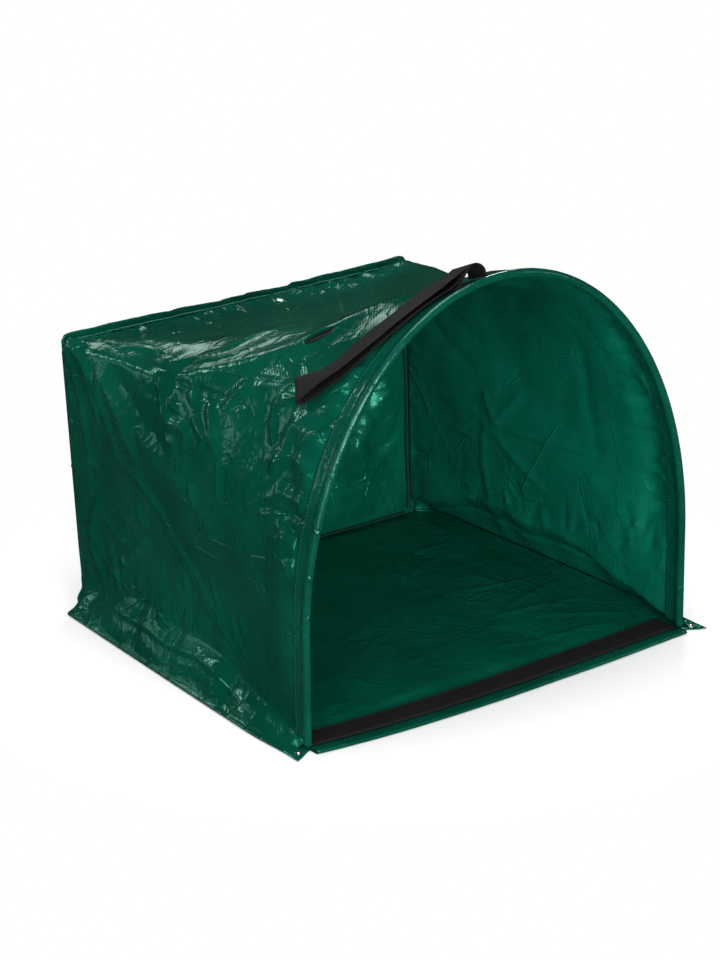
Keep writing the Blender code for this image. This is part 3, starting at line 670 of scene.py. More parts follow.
# Crushing: long facets that fan out from the rear corners, shorter ones between them, all calmer
# on the roof, and a slow wave.
from_left = soft_step(0.12, -0.12, hood_v)
roof_calm = 1 - 0.72 * soft_step(0.26, 0.18, np.abs(hood_v))
shoulder = np.exp(-(((hood_v + 0.33) / 0.08) ** 2))
crushed = facets(hood_flat, 0.052, 0.0020, 1.0, 1.8) * from_left
crushed += facets(hood_flat, 0.052, 0.0011, -1.1, 1.8) * (1 - from_left)
crushed += facets(hood_flat, 0.026, 0.0010, 1.3, 1.5) * (0.45 + 0.75 * shoulder)
crushed += facets(hood_flat, 0.0125, 0.00030) * (0.4 + 0.8 * shoulder)
raised += crushed * roof_calm + waves(hood, 6.0, 0.0035)

# Behind the hem the cloth bellies out at the shoulders, most on the right.
for side, swell in ((-1, 0.004), (1, 0.011)):
    belly = soft_step(0.18, 0.34, side * hood_v) * soft_step(0.66, 0.50, side * hood_v)
    ripple = np.array([0.75 + 0.9 * wobble(v * 16, 3 * side) for v in hood_v[0]])
    raised += swell * belly * ripple * np.exp(-(((hood_u - hem_u - 0.030) / 0.020) ** 2))

held_front = soft_step(hem_u - 0.002, hem_u + 0.012, hood_u)
held_rear = soft_step(BAG_DEPTH - 0.0002, BAG_DEPTH - 0.007, hood_u)
foot_share = soft_step(0.020, 0.100, hood[..., 2])
raised *= held_front * held_rear * (0.15 + 0.85 * foot_share) * soft_step(0.0022, 0.006, hood[..., 2])

# The ledge over the foot waves in and out, and its skirt hangs in soft drags.
wave = [wobble(u * 11.0, 3.0 if v < 0 else 7.0) for u, v in hood_flat.reshape(-1, 2)]
wave = np.array(wave).reshape(hood.shape[:2])
low_part = soft_step(0.22, 0.26, np.abs(hood[..., 0])) * soft_step(0.003, 0.015, hood[..., 2])
low_part *= soft_step(0.085, 0.050, hood[..., 2]) * held_front
raised += low_part * (0.0035 * wave + 0.0011 * np.sin(hood_u * 75 + 5 * wave))

hood = hood + hood_out * raised[..., None]
hood[..., 2] = np.maximum(hood[..., 2], PLY_STEP + PLY / 2 - 0.0002)


def rounded_tip(points, reach_front):
    """Draws the flange's front corner out to its point and rounds and lifts its rear corner."""
    foot = between(HALF_MOUTH, REAR_WIDTH_FOOT / 2, (points[..., 1] - MOUTH_Y) / BAG_DEPTH)
    tip = np.clip((np.abs(points[..., 0]) - foot) / FLANGE, 0, 1)
    lying = points[..., 2] < 0.005
    points[0, :, 1] -= reach_front * (tip * lying)[0]
    back = (soft_step(REAR_Y - 0.020, REAR_Y, points[..., 1]) * tip) ** 2
    points[..., 0] -= np.sign(points[..., 0]) * FLANGE * 0.90 * back * soft_step(0.06, 0.03, points[..., 2])
    points[..., 2] += 0.0022 * back * lying


rounded_tip(hood, POINT_REACH)
hood_marks = fold_marks(hood_flat, sharp_lines)
hood_cloth = sheet_piece("hood_cloth", hood, hood_flat, [CLOTH_OUTSIDE, CLOTH_INSIDE], hood_marks)

# Slot: a lens-shaped opening left of the crown, its raw edge bound with narrow black tape.
# The tape is folded over the edge and sewn down, so it stands up as a soft bead all round.
SLOT_LENGTH, SLOT_WIDTH = 0.043, 0.0135
SLOT_DEPTH_SHARE, SLOT_ANGLE = 0.255, math.radians(27)
slot_down, slot_step = 1 - SLOT_ANGLE / (math.pi / 2), 0.02
slot_centre = hood_point(SLOT_DEPTH_SHARE, -1, "corner", slot_down)
slot_ahead = hood_point(SLOT_DEPTH_SHARE - slot_step, -1, "corner", slot_down + 1.3 * slot_step)
slot_behind = hood_point(SLOT_DEPTH_SHARE + slot_step, -1, "corner", slot_down - 1.3 * slot_step)
slot_beside = hood_point(SLOT_DEPTH_SHARE + slot_step, -1, "corner", slot_down + 3 * slot_step)
slot_along = (slot_ahead - slot_behind).normalized()
slot_up = slot_along.cross(slot_beside - slot_centre).normalized()
slot_up = slot_up if slot_up.z > 0 else -slot_up
slot_across = slot_up.cross(slot_along)


def lens(steps, grow=0.0):
    """Points round the slot's outline, in space."""
    points = []
    for k in range(steps):
        turn = 2 * math.pi * k / steps
        wide = (SLOT_WIDTH / 2 + grow) * math.sin(turn) * abs(math.sin(turn)) ** 0.4
        ahead = slot_along * (SLOT_LENGTH / 2 + grow) * math.cos(turn)
        points.append(slot_centre + ahead + slot_across * wide)
    return points


PLUG_SIDES, PLUG_REACH = 48, 0.02
ring = lens(PLUG_SIDES, 0.0004)
plug_points = [tuple(p + slot_up * high) for high in (-PLUG_REACH, PLUG_REACH) for p in ring]
plug_faces = grid_quads(2, PLUG_SIDES, True).tolist()
plug_faces += [list(range(PLUG_SIDES - 1, -1, -1)), list(range(PLUG_SIDES, 2 * PLUG_SIDES))]
plug = placed("slot_plug", new_mesh("slot_plug", plug_points, [], plug_faces))
knife = hood_cloth.modifiers.new("slot", "BOOLEAN")
knife.operation = "DIFFERENCE"
knife.solver = "EXACT"
knife.object = plug
apply_all(hood_cloth)
bpy.data.objects.remove(plug)


def woven_strip(name, dark, light, rib, height, roughness):
    """Woven tape or webbing with fine ribs across it."""
    made, shader, place = finish(name)
    _, along, across = place.uv("weave")
    turn = 2 * math.pi / rib
    ribs = (along * turn + (across * turn * 0.5).sine() * 0.9).sine()
    lines = (across * (turn * 0.5)).sine()
    fluff = place.cloud(900.0, 3.0, 0.7)
    wear = place.cloud(30.0, 3.0)
    weave = ribs * 0.5 + lines * 0.3 + fluff * 0.5
    shade = (weave * 0.35 + 0.5).clear(0.0, 1.0) * 0.5 + wear * 0.5
    join(shader, Base_Color=shade.tone(dark, light), Roughness=roughness + fluff * 0.15)
    join(shader, Normal=weave.relief(height), Specular_IOR_Level=0.18)
    return made


BLACK_TAPE = woven_strip("black_tape", (0.003, 0.003, 0.003), (0.008, 0.0075, 0.0075), 0.0011, 0.00012, 0.55)
GREEN_TAPE = woven_strip("green_tape", (0.0007, 0.016, 0.010), (0.0016, 0.034, 0.022), 0.0011, 0.00010, 0.50)
BLACK_WEBBING = woven_strip(
    "black_webbing", (0.0036, 0.0032, 0.0032), (0.0125, 0.0112, 0.0110), 0.0016, 0.00022, 0.70
)


def smooth_path(points, spacing, closed=False):
    """A smooth curve through the points, sampled at even steps along its length."""
    points = [np.asarray(p, float) for p in points]
    if closed:
        points = [points[-1], *points, points[0], points[1]]
    else:
        points = [2 * points[0] - points[1], *points, 2 * points[-1] - points[-2]]
    fine = []
    for a, b, c, d in zip(points, points[1:], points[2:], points[3:]):
        bow, twist = 2 * a - 5 * b + 4 * c - d, 3 * b - a - 3 * c + d
        for t in np.linspace(0, 1, 12, endpoint=False):
            fine.append(0.5 * (2 * b + (c - a) * t + bow * t**2 + twist * t**3))
    fine.append(points[-2])
    fine = np.array(fine)
    reach = reach_along(fine)
    count = max(2, int(round(reach[-1] / spacing))) + 1
    steps = np.linspace(0, reach[-1], count)[: -1 if closed else None]
    return at_reach(steps, reach, fine)


def swept(name, path, across, up, profile, finishes, closed=False):
    """A solid strip: the profile (across, up) carried along the path, capped at open ends."""
    across, up = unit(across), unit(up)
    profile = np.asarray(profile, float)
    if profile.ndim == 2:
        profile = np.repeat(profile[None], len(path), 0)
    points = path[:, None] + across[:, None] * profile[..., :1] + up[:, None] * profile[..., 1:]
    rows, columns = points.shape[:2]
    flat = np.stack([np.repeat(reach_along(path)[:, None], columns, 1), profile[..., 0]], -1)
    faces = [list(f) for f in grid_quads(rows, columns, True)]
    last = (rows - 1) * columns
    if closed:
        faces += [[last + c, last + (c + 1) % columns, (c + 1) % columns, c] for c in range(columns)]
    else:
        faces += [list(range(columns - 1, -1, -1)), list(range(last, last + columns))]
    piece = mesh_piece(name, points, faces, flat, finishes)
    turn_outwards(piece, 50)
    return piece


def flat_strip(name, path, profile, finishes):
    """A strip that lies level across the bag."""
    across, up = (np.tile(way, (len(path), 1)) for way in ((0, 1, 0), (0, 0, 1)))
    return swept(name, path, across, up, profile, finishes)


def oval(half_width, half_height, steps):
    turns = np.linspace(0, 2 * math.pi, steps, endpoint=False)
    return np.array([(half_width * math.cos(t), half_height * math.sin(t)) for t in turns])


def rounded(width, thickness, steps=3, crown=0.0):
    """Outline of a flat strip with rounded edges, its faces crowned a little."""
    half, edge = width / 2, thickness / 2
    outline = []
    for side in (1, -1):
        for k in range(7):
            x = between(-(half - edge), half - edge, k / 6)
            outline.append((side * x, -side * (edge + crown * (1 - (x / half) ** 2))))
        for k in range(1, steps):
            turn = -math.pi / 2 + math.pi * k / steps
            outline.append((side * (half - edge + edge * math.cos(turn)), side * edge * math.sin(turn)))
    return outline


slot_line = smooth_path(lens(40), 0.0014, closed=True)
slot_ways = np.roll(slot_line, -1, 0) - np.roll(slot_line, 1, 0)
slot_ups = np.repeat(np.array(slot_up)[None], len(slot_line), 0)
pinch = 1 + 0.10 * np.sin(np.arange(len(slot_line)) * 1.9)[:, None, None]
bead = oval(0.0021, 0.0016, 12)[None] * pinch
slot_tape = swept(
    "slot_tape", slot_line, np.cross(slot_ways, slot_ups), slot_ups, bead, [BLACK_TAPE], closed=True
)

# Floor sheet: the same cloth laid flat, its sides sewn under the hood's flanges and its front
# corners drawn out to the points that carry the rivets. It lies on the ground a little uneven.
FLOOR_FRONT_Y = MOUTH_Y + PLY_STEP
# The floor's inner face gets its own tone: lighter than the outside, as the cloth's inner face is, and darker
# than the walls' inner face, which is painted shade for the dim, low light on the floor inside the bag.
CLOTH_FLOOR = coated_cloth(
    "cloth_floor", (0.0005, 0.056, 0.034), (0.0013, 0.090, 0.055), 0.26, 0.50, 0.00006, 0.0006, 0.40
)
FRONT_BOW = 0.015


def front_bow(x):
    """How far the front edge is drawn forward between the feet of the arch, most left of the middle."""
    return FRONT_BOW * math.sin(math.pi * np.clip((x + HALF_MOUTH) / MOUTH_WIDTH, 0, 1) ** 0.75)


floor_columns, floor_rows = 150, 130
floor = np.zeros((floor_rows, floor_columns, 3))
for r, share in enumerate(np.linspace(0, 1, floor_rows)):
    for c, over in enumerate(np.linspace(-1, 1, floor_columns)):
        half_width = between(HALF_MOUTH, REAR_WIDTH_FOOT / 2, share)
        half_width += flange_width(MOUTH_Y + share * BAG_DEPTH)
        ear = max(0.0, abs(over) * half_width - HALF_MOUTH) / FLANGE
        front = between(FLOOR_FRONT_Y, ROD_Y + BULB + PLAY - POINT_REACH, min(1.0, ear))
        front -= front_bow(over * half_width) * max(0.0, 1 - share * 4) / max(0.01, 1 - share)
        floor[r, c] = (over * half_width, between(front, REAR_Y + PLY, share), PLY / 2)
floor_flat = floor[..., [1, 0]].copy()
floor_rise = scatter(
    floor_flat, 26, lambda: (draw(-0.20, 0.26), draw(-0.27, 0.27)),
    lambda: choose((0.0, math.pi / 2)) + stray(0, 0.3), lambda: draw(0.06, 0.2),
    lambda: draw(0.0008, 0.0022), lambda: draw(0.006, 0.010),
)
floor_rise += 0.0018 + waves(floor, 7.0, 0.0012)
floor_rise += facets(floor_flat, 0.048, 0.0012, 0.4, 1.5) + facets(floor_flat, 0.017, 0.0004)
inside = soft_step(0.285, 0.262, np.abs(floor[..., 0])) * soft_step(0.272, 0.255, floor[..., 1])
inside *= soft_step(-0.236, -0.215, floor[..., 1])
floor[..., 2] += np.clip(floor_rise, 0, 0.006) * inside
side_reach = np.abs(floor[:, :1, 0])
outer_strip = np.abs(np.linspace(-1, 1, floor_columns))[None] * side_reach - side_reach
floor[..., 2] += 0.0011 * soft_step(-0.010, -0.004, outer_strip)
rounded_tip(floor, 0.0)
floor_cloth = sheet_piece("floor_cloth", floor, floor_flat, [CLOTH_FLOOR, CLOTH_OUTSIDE])

# Rear sheet: a nearly square panel of the cloth. Along the top its edge is turned back on itself
# and stands up behind the roof as a wavy seam fin; the other three edges meet hood and floor.
REAR_COLUMNS, FIN_PLY = 135, 0.0016
fin_top = REAR_HEIGHT + 0.0003
rear_heights = np.r_[
    np.linspace(PLY / 2, 0.020, 13), np.linspace(0.024, ROOF_REAR - 0.002, 92),
    np.linspace(ROOF_REAR, fin_top, 8),
]
FIN_KINKS = (-1, -0.62, -0.40, -0.36, -0.12, 0.03, 0.05, 0.22, 0.29, 0.31, 0.55, 0.72, 1)
FIN_DROPS = np.array((6, 8, 22, 12, 46, 34, 22, 46, 56, 24, 20, 14, 2)) / 10000
rear_fold = [(0.0004, -0.0004), (0.0005, -0.0009), (0.0004, -0.0013)]
rear_down = np.linspace(0.002, fin_top - ROOF_REAR - 0.0010, 6)
rear_line = [(z, PLY / 2) for z in rear_heights]
rear_line += [(fin_top + up, PLY / 2 + off) for up, off in rear_fold]
rear_line += [(fin_top - down, PLY / 2 - FIN_PLY) for down in rear_down]
rear_line[-1] = (rear_line[-1][0] + 0.0004, rear_line[-1][1] - FIN_PLY)
rear_reach = reach_along(np.array(rear_line))
seam_heights, seam_widths = np.maximum.accumulate(hood[-1, :-100:-1, 2]), hood[-1, :-100:-1, 0]
rear = np.zeros((len(rear_line), REAR_COLUMNS, 3))
for c, over in enumerate(np.linspace(-1, 1, REAR_COLUMNS)):
    corner = max(0.0, abs(over) * REAR_WIDTH_TOP / 2 - (REAR_WIDTH_TOP / 2 - REAR_CORNER)) / REAR_CORNER
    round_off = REAR_CORNER * 0.7 * (1 - math.sqrt(max(0.0, 1 - corner**2)))
    ruffle = float(np.interp(over, FIN_KINKS, FIN_DROPS)) + 0.0005 * wobble(over * 31.0, 4.0)
    flutter = 0.0030 * wobble(over * 9.0, 8.0) + 0.0008 * wobble(over * 40.0, 6.0)
    dropped = round_off + max(0.0, ruffle)
    for r, (z, off) in enumerate(rear_line):
        stands = min(1.0, max(0.0, (z - ROOF_REAR + 0.002) / SEAM_FIN))
        z_here = z - dropped * stands
        width = between(REAR_WIDTH_FOOT, REAR_WIDTH_TOP, min(1.0, z / ROOF_REAR)) / 2
        if z < ROOF_REAR - REAR_CORNER:
            width = float(np.interp(z * (1 + REAR_LIFT), seam_heights, seam_widths))
            width += 0.0004 + 0.0008 * (z < 0.04)
        y = REAR_Y + REAR_LEAN * z_here / REAR_HEIGHT + off + flutter * stands
        rear[r, c] = (over * width, y, z_here * (1 + REAR_LIFT))
rear_flat = np.stack([np.repeat(rear_reach[:, None], REAR_COLUMNS, 1), rear[..., 0]], -1)
REAR_FOLDS = (
    ((60, 260, 130, 200, 200, 120), 30, 14), ((200, 250, 120, 190, 60, 200), -34, 16),
    ((140, 270, 110, 235, 90, 190), 42, 12), ((50, 235, 75, 200, 60, 150), 36, 12),
    ((250, 230, 170, 210, 100, 235), 30, 12), ((40, -260, 160, -150, 300, -50), 26, 14),
    ((330, -260, 220, -120, 120, 20, 50, 100), -28, 16), ((340, 250, 250, 100, 180, -40), 24, 14),
    ((30, 20, 160, 40, 330, 30), 18, 10),
)
rear_press, _ = folds(rear_flat, REAR_FOLDS)
rear_press += scatter(
    rear_flat, 70, lambda: (draw(0.02, 0.34), draw(-0.26, 0.26)), lambda: draw(0, math.pi),
    lambda: draw(0.03, 0.12), lambda: draw(0.0006, 0.0022) * choose((1, -1)), lambda: draw(0.006, 0.013),
)
rear_press += waves(rear, 6.5, 0.004)
rear_press += facets(rear_flat, 0.040, 0.0034, 0.5, 3.2) + facets(rear_flat, 0.020, 0.0009, 0.6, 2.4)
rear_press += facets(rear_flat, 0.011, 0.0004)
rear_free = soft_step(0.003, 0.03, rear[..., 2])
rear_free *= soft_step(ROOF_REAR - 0.004, ROOF_REAR - 0.035, rear[..., 2])
rear_free *= soft_step(0.272, 0.245, np.abs(rear[..., 0]))
rear[..., 1] += rear_press * rear_free
rear_cloth = sheet_piece("rear_cloth", rear[:, ::-1], rear_flat[:, ::-1], [CLOTH_OUTSIDE, CLOTH_REAR])
fin_line = rear[-2, 5:-5] - (0, 0.0008, 0)

# Seam tapes: dark green bias tape sewn over the raw seams inside the rear end, up both corners and
# along the top and the foot, each with a row of green stitches.
TAPE_DIAMETER = 0.0044
tape_radius = TAPE_DIAMETER / 2
tape_inset = PLY / 2 + PLAY + tape_radius
tape_low = PLY + PLAY + tape_radius
tape_high = ROOF_REAR - tape_inset
tape_spacing = TAPE_DIAMETER + 2 * PLAY


def tape_place(x, z):
    return (x, REAR_Y + REAR_LEAN * z / REAR_HEIGHT - PLAY - tape_radius, z * (1 + REAR_LIFT))


def tape_inner_x(z):
    return between(REAR_WIDTH_FOOT, REAR_WIDTH_TOP, z / ROOF_REAR) / 2 - tape_inset - WALL_HOLLOW / 4


def thread(name, dark, light):
    return grained(name, dark, light, (2600.0,) * 3, 1.0, 0.5, 0.2, 0.00008)


PALE_THREAD = thread("pale_thread", (0.030, 0.150, 0.110), (0.090, 0.270, 0.215))
GREEN_THREAD = thread("green_thread", (0.003, 0.050, 0.033), (0.020, 0.130, 0.095))
BLACK_THREAD = thread("black_thread", (0.008, 0.008, 0.008), (0.035, 0.033, 0.032))


def stitches(name, path, ups, finishes, length=0.0034, gap=0.0012, radius=0.00036, lift=0.0002):
    """A row of short threads that lie on a path, each a few dozen faces."""
    path, ups = np.asarray(path, float), np.asarray(ups, float)
    reach = reach_along(path)
    count = int(reach[-1] / (length + gap))
    middles = (np.arange(count) + 0.5) * reach[-1] / count
    up = unit(at_reach(middles, reach, ups))
    way = unit(at_reach(middles + 0.001, reach, path) - at_reach(middles - 0.001, reach, path))
    side = np.cross(way, up)
    centre = at_reach(middles, reach, path) + up * lift
    rings = [(-0.5, 0.35, -0.8), (-0.28, 0.95, 0.1), (0.28, 0.95, 0.1), (0.5, 0.35, -0.8)]
    points = []
    for share, thick, rise in rings:
        for turn in (2 * math.pi * k / 6 for k in range(6)):
            beside = side * radius * thick * math.cos(turn)
            above = up * radius * (thick * math.sin(turn) + rise)
            points.append(centre + way * length * share + beside + above)
    points = np.stack(points, 1)
    one = grid_quads(4, 6, True)[:, [0, 3, 2, 1]].tolist() + [list(range(6)), list(range(23, 17, -1))]
    faces = [[24 * s + v for v in face] for s in range(count) for face in one]
    flat = np.tile(np.array([(x, 0.0) for x, _, _ in rings for _ in range(6)]), (count, 1))
    return mesh_piece(name, points, faces, flat, finishes)


tape_lines = {}
heights = [between(tape_low + tape_spacing, tape_high - tape_spacing, k / 12) for k in range(13)]
for side, name in ((-1, "corner_tape_left"), (1, "corner_tape_right")):
    tape_lines[name] = [
        tape_place(side * (tape_inner_x(z) - 0.0010 + 0.0010 * math.sin(z * 44)), z) for z in heights
    ]
for name, z in (("foot_tape", tape_low), ("top_tape", tape_high)):
    end = tape_inner_x(z) - REAR_CORNER / 2
    tape_lines[name] = [
        tape_place(between(-end, end, k / 16), z + 0.0004 * math.sin(k * 1.7)) for k in range(17)
    ]
fin_ups = [(0, -1, 0.3)] * len(fin_line)
fin_thread = stitches("fin_thread", fin_line, fin_ups, [PALE_THREAD], 0.0040, 0.0008, 0.0007, 0.0)
rear_strips = [rear_cloth, fin_thread]
for name, line in tape_lines.items():
    path = smooth_path(line, 0.004)
    inward = np.zeros_like(path)
    if name.startswith("corner"):
        inward[:, 0] = -np.sign(path[:, 0])
    else:
        inward[:, 2] = 1 if name == "foot_tape" else -1
    inward[:, 1] = -1
    across = np.cross(np.gradient(path, axis=0), inward)
    strip = swept("sewn_" + name, path, across, inward, oval(0.0023, 0.0013, 14), [GREEN_TAPE])
    row = stitches("thread_" + name, path, inward, [GREEN_THREAD], 0.0026, 0.0022, 0.00030, 0.0012)
    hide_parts(name)
    rear_strips += [strip, row]

# Rod: a springy glass-fibre rod bent to the arch, with a soft cap on each end so that it can't
# cut through the cloth. The sleeve hides all three; only their finish is new.
ROD_PALE, ROD_LIGHT = (0.50, 0.50, 0.44), (0.70, 0.70, 0.66)
GLASS_FIBRE = grained("pale_glass_fibre", ROD_PALE, ROD_LIGHT, (300.0, 300.0, 40.0), 3.0, 0.32, 0.2, 0.00005)
SOFT_BLACK = grained(
    "soft_black_cap", (0.010, 0.010, 0.010), (0.024, 0.023, 0.022), (700.0,) * 3, 2.0, 0.5, 0.2, 0.00006
)
nodes["arch_rod"].data.materials[0] = GLASS_FIBRE
for name in ("rod_cap_left", "rod_cap_right"):
    nodes[name].data.materials[0] = SOFT_BLACK

# Arch sleeve: a strip of the cloth that laps the hood outside, rolls round the rod and laps it
# again inside, sewn down along its rear edge. The pull of the rod puckers it finely.
LIP_HEIGHT = 0.0025 + 2 * PLY_STEP
HEM_FOOT_Z = LIP_HEIGHT + 2 * PLAY


def arch_stations(foot_z, leg_steps, corner_steps):
    """(side, part, share) from the left foot over the crown to the right foot."""
    section = Section(ROD_SHARE)
    low = section.ground + section.flare
    start = (foot_z - low) / (section.wall - low)
    half = [("wall", between(start, 1, k / leg_steps)) for k in range(leg_steps)]
    half += [("corner", k / corner_steps) for k in range(corner_steps + 1)]
    return [(-1, *s) for s in half] + [(1, *s) for s in reversed(half[:-1])]


LAP_STEPS, ROLL_STEPS, ROLL_START = 6, 20, math.radians(52)
stations = arch_stations(HEM_FOOT_Z, 30, 118)
lap_depths = np.linspace(HEM_SHARE, between(HEM_SHARE, HOOD_FRONT_SHARE, 0.75), LAP_STEPS)
sleeve, outer_edge, inner_edge, outward_ways = [], [], [], []
reach = 0.0
before = None
for station in stations:
    centre = hood_point(ROD_SHARE, *station)
    outward = hood_point(ROD_SHARE, *station, lift=1.0) - centre
    reach += (centre - before).length if before else 0.0
    before = centre
    pucker = wobble(reach * 75, 0, 2) + 0.6 * wobble(reach * 160, 4, 1)
    laps = []
    for side in (1, -1):
        lap = []
        for depth in lap_depths:
            loose = (depth - lap_depths[-1]) / (lap_depths[0] - lap_depths[-1])
            lift = side * (PLY_STEP - 0.0003 + 0.0011 * abs(pucker) * loose * (1 - loose) * 4)
            shift = 0.0012 * wobble(reach * 22, 9 * side) * loose
            lap.append(hood_point(depth, *station, lift=lift) + Vector((0, shift, 0)))
        laps.append(lap)
    roll = []
    for k in range(ROLL_STEPS + 1):
        turn = between(ROLL_START, 2 * math.pi - ROLL_START, k / ROLL_STEPS)
        swell = BULB * (1 + 0.035 * pucker * math.sin(turn) ** 2)
        roll.append(centre + swell * (outward * math.sin(turn) + Vector((0, math.cos(turn), 0))))
    sleeve.append(laps[0] + roll + laps[1][::-1])
    outer_edge.append(laps[0][0].lerp(laps[0][1], 0.75))
    inner_edge.append(laps[1][0].lerp(laps[1][1], 0.75))
    outward_ways.append(outward)
sleeve = np.array(sleeve)
outward_ways = np.array(outward_ways)
arch_reach, ring_reach = reach_along(sleeve[:, 16]), reach_along(sleeve[80])
sleeve_flat = np.stack(np.meshgrid(arch_reach, ring_reach, indexing="ij"), -1)
arch_sleeve = sheet_piece("arch_sleeve", sleeve[::-1], sleeve_flat[::-1], [CLOTH_HEM])
outer_thread = stitches("sleeve_thread_outside", outer_edge, outward_ways, [GREEN_THREAD], lift=0.0003)
inner_thread = stitches(
    "sleeve_thread_inside", inner_edge, -outward_ways, [GREEN_THREAD], 0.0028, 0.0022, 0.0003, 0.0003
)

# Front lip: the cloth rolled over a flat batten along the floor's front edge, so that the bag
# scrapes the ground like a dustpan. It laps the floor behind, where the webbing is sewn on.
LIP_REAR_Y = FLOOR_FRONT_Y - PLAY
BATTEN_WIDTH, LAP = 0.012, 0.034
LIP_FRONT_Y = LIP_REAR_Y - BATTEN_WIDTH - 2 * PLY_STEP
LIP_HALF = HALF_MOUTH - 5 * PLAY
half_ply = PLY / 2
lip_top = LIP_HEIGHT - half_ply
lap_z = PLY + PLAY + half_ply
front_turn = [
    (
        LIP_FRONT_Y + half_ply + 0.0018 * (1 - math.sin(t)),
        half_ply + (lip_top - half_ply) * (1 + math.cos(t)) / 2,
    )
    for t in np.linspace(0, math.pi, 9)
]
lip_line = [(LIP_REAR_Y + LAP, lap_z)]
lip_line += [(between(LIP_REAR_Y + LAP, LIP_REAR_Y + 0.0022, k / 7), lap_z) for k in range(1, 8)]
lip_line += [(LIP_REAR_Y + 0.0008, lap_z + 0.0010), (LIP_REAR_Y - 0.0006, lip_top - 0.0003)]
lip_line += [(between(LIP_REAR_Y - 0.0020, LIP_FRONT_Y + 0.0040, k / 5), lip_top) for k in range(6)]
lip_line += front_turn
lip_line += [(between(LIP_FRONT_Y + 0.0040, LIP_REAR_Y - half_ply, k / 4), half_ply) for k in range(1, 5)]
LIP_COLUMNS = 150
lip = np.zeros((LIP_COLUMNS, len(lip_line), 3))
for c, x in enumerate(np.linspace(-LIP_HALF, LIP_HALF, LIP_COLUMNS)):
    sway = 0.0011 * wobble(x * 9, 1) + 0.0004 * wobble(x * 40, 5)
    rise = 0.0007 * max(0.0, wobble(x * 14, 7, 3))
    for r, (y, z) in enumerate(lip_line):
        front = min(1.0, max(0.0, (LIP_REAR_Y - y) / BATTEN_WIDTH))
        lip[c, r] = (x, y + sway * front - front_bow(x), z + rise * front * (z > 0.002))
lip_reach = reach_along(np.array(lip_line))
lip_flat = np.stack(np.meshgrid(lip[:, 0, 0], lip_reach, indexing="ij"), -1)
front_lip = sheet_piece("front_lip", lip, lip_flat, [CLOTH_HEM])


def bowed_line(half, y, height, count):
    """Points across the bag that follow the bowed front edge."""
    return np.array([(x, y - front_bow(x), height) for x in np.linspace(-half, half, count)])


lip_thread_line = bowed_line(LIP_HALF - 0.01, LIP_REAR_Y + 0.0035, lap_z + half_ply, 60)
lip_ups = [(0, 0, 1)] * len(lip_thread_line)
lip_thread = stitches("lip_thread", lip_thread_line, lip_ups, [GREEN_THREAD], lift=-0.0002)
batten_path = bowed_line(LIP_HALF - 4 * PLY, LIP_REAR_Y - PLY_STEP - BATTEN_WIDTH / 2, PLY_STEP + 0.00115, 60)
bowed_batten = flat_strip("bowed_batten", batten_path, rounded(BATTEN_WIDTH - 0.001, 0.0021), [SOFT_BLACK])

# Floor webbing: a black woven strap sewn across the mouth behind the lip. It ties the feet of
# the arch together and takes the wear where the bag is dragged.
WEBBING_WIDTH, WEBBING_THICKNESS, STRAP_INSET = 0.038, 0.0016, 0.003
strap_y = LIP_REAR_Y + 2 * STRAP_INSET + WEBBING_WIDTH / 2
strap_z = 2 * PLY_STEP + PLAY + WEBBING_THICKNESS / 2
strap_path = bowed_line(HALF_MOUTH - 2 * STRAP_INSET, strap_y, strap_z, 160)
strap_path[:, 1] += [0.0008 * wobble(x * 7, 3) for x in strap_path[:, 0]]
strap_path[:, 2] += [0.0004 * abs(wobble(x * 18, 0)) for x in strap_path[:, 0]]
crowned = rounded(WEBBING_WIDTH, WEBBING_THICKNESS, 4, 0.0001)
floor_webbing = flat_strip("floor_webbing", strap_path, crowned, [BLACK_WEBBING])
webbing_threads = []
for name, over in (("front", -1), ("rear", 1)):
    line = strap_path[2:-2] + (0, over * (WEBBING_WIDTH / 2 - 0.0028), WEBBING_THICKNESS / 2)
    ups = [(0, 0, 1)] * len(line)
    row = stitches("webbing_thread_" + name, line, ups, [BLACK_THREAD], 0.0030, 0.0014, 0.0004)
    webbing_threads.append(row)

# Rivets: two small domed steel studs with a washer, set through the points of the flanges at
# the front corners, where the arch, the lip and the flange pull on the cloth.
STEEL = grained(
    "bright_rivet_steel", (0.52, 0.53, 0.54), (0.74, 0.75, 0.76), (500.0,) * 3, 3.0, 0.16, 0.16, 0.00003,
    Metallic=1.0,
)
flange_top = 2 * PLY_STEP + PLAY
rivet_profile = [(0.0, 0.00180), (0.0010, 0.00176), (0.0020, 0.00160), (0.0029, 0.00128), (0.0035, 0.00080)]
rivet_profile += [(0.0037, 0.00042), (0.0038, 0.00046), (0.0043, 0.00050), (0.0046, 0.00034), (0.0047, 0.0)]
shank_end = PLAY - flange_top
rivet_profile += [(0.0040, -0.00010), (0.0020, -0.00015), (0.0019, shank_end), (0.0, shank_end)]
profile_edges = [(k, k + 1) for k in range(len(rivet_profile) - 1)]
rivets = []
for side, name in ((-1, "rivet_left"), (1, "rivet_right")):
    spun = new_mesh(name, [(r, 0, z) for r, z in rivet_profile], profile_edges, [])
    spun.materials.append(STEEL)
    stud = placed("stud_" + name, spun)
    turn = stud.modifiers.new("turn", "SCREW")
    turn.steps = turn.render_steps = 32
    turn.use_merge_vertices = True
    turn.merge_threshold = 0.00001
    apply_all(stud)
    spun.transform(Matrix.Translation((side * (HALF_MOUTH + FLANGE - 0.013), MOUTH_Y, flange_top - 0.0001)))
    turn_outwards(stud, 35)
    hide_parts(name)
    rivets.append(stud)

# Carrying strap: one length of the black webbing. Its two ends are sewn side by side on the
# crown of the sleeve and rise to a point, from which the doubled loop flops over the left side.
HANDLE_ROOT_SPAN, HANDLE_ROOT_X, HANDLE_APEX_RISE = 0.040, -0.0455, 0.0205
HANDLE_SETBACK, HANDLE_FOOT = 0.001, 0.005
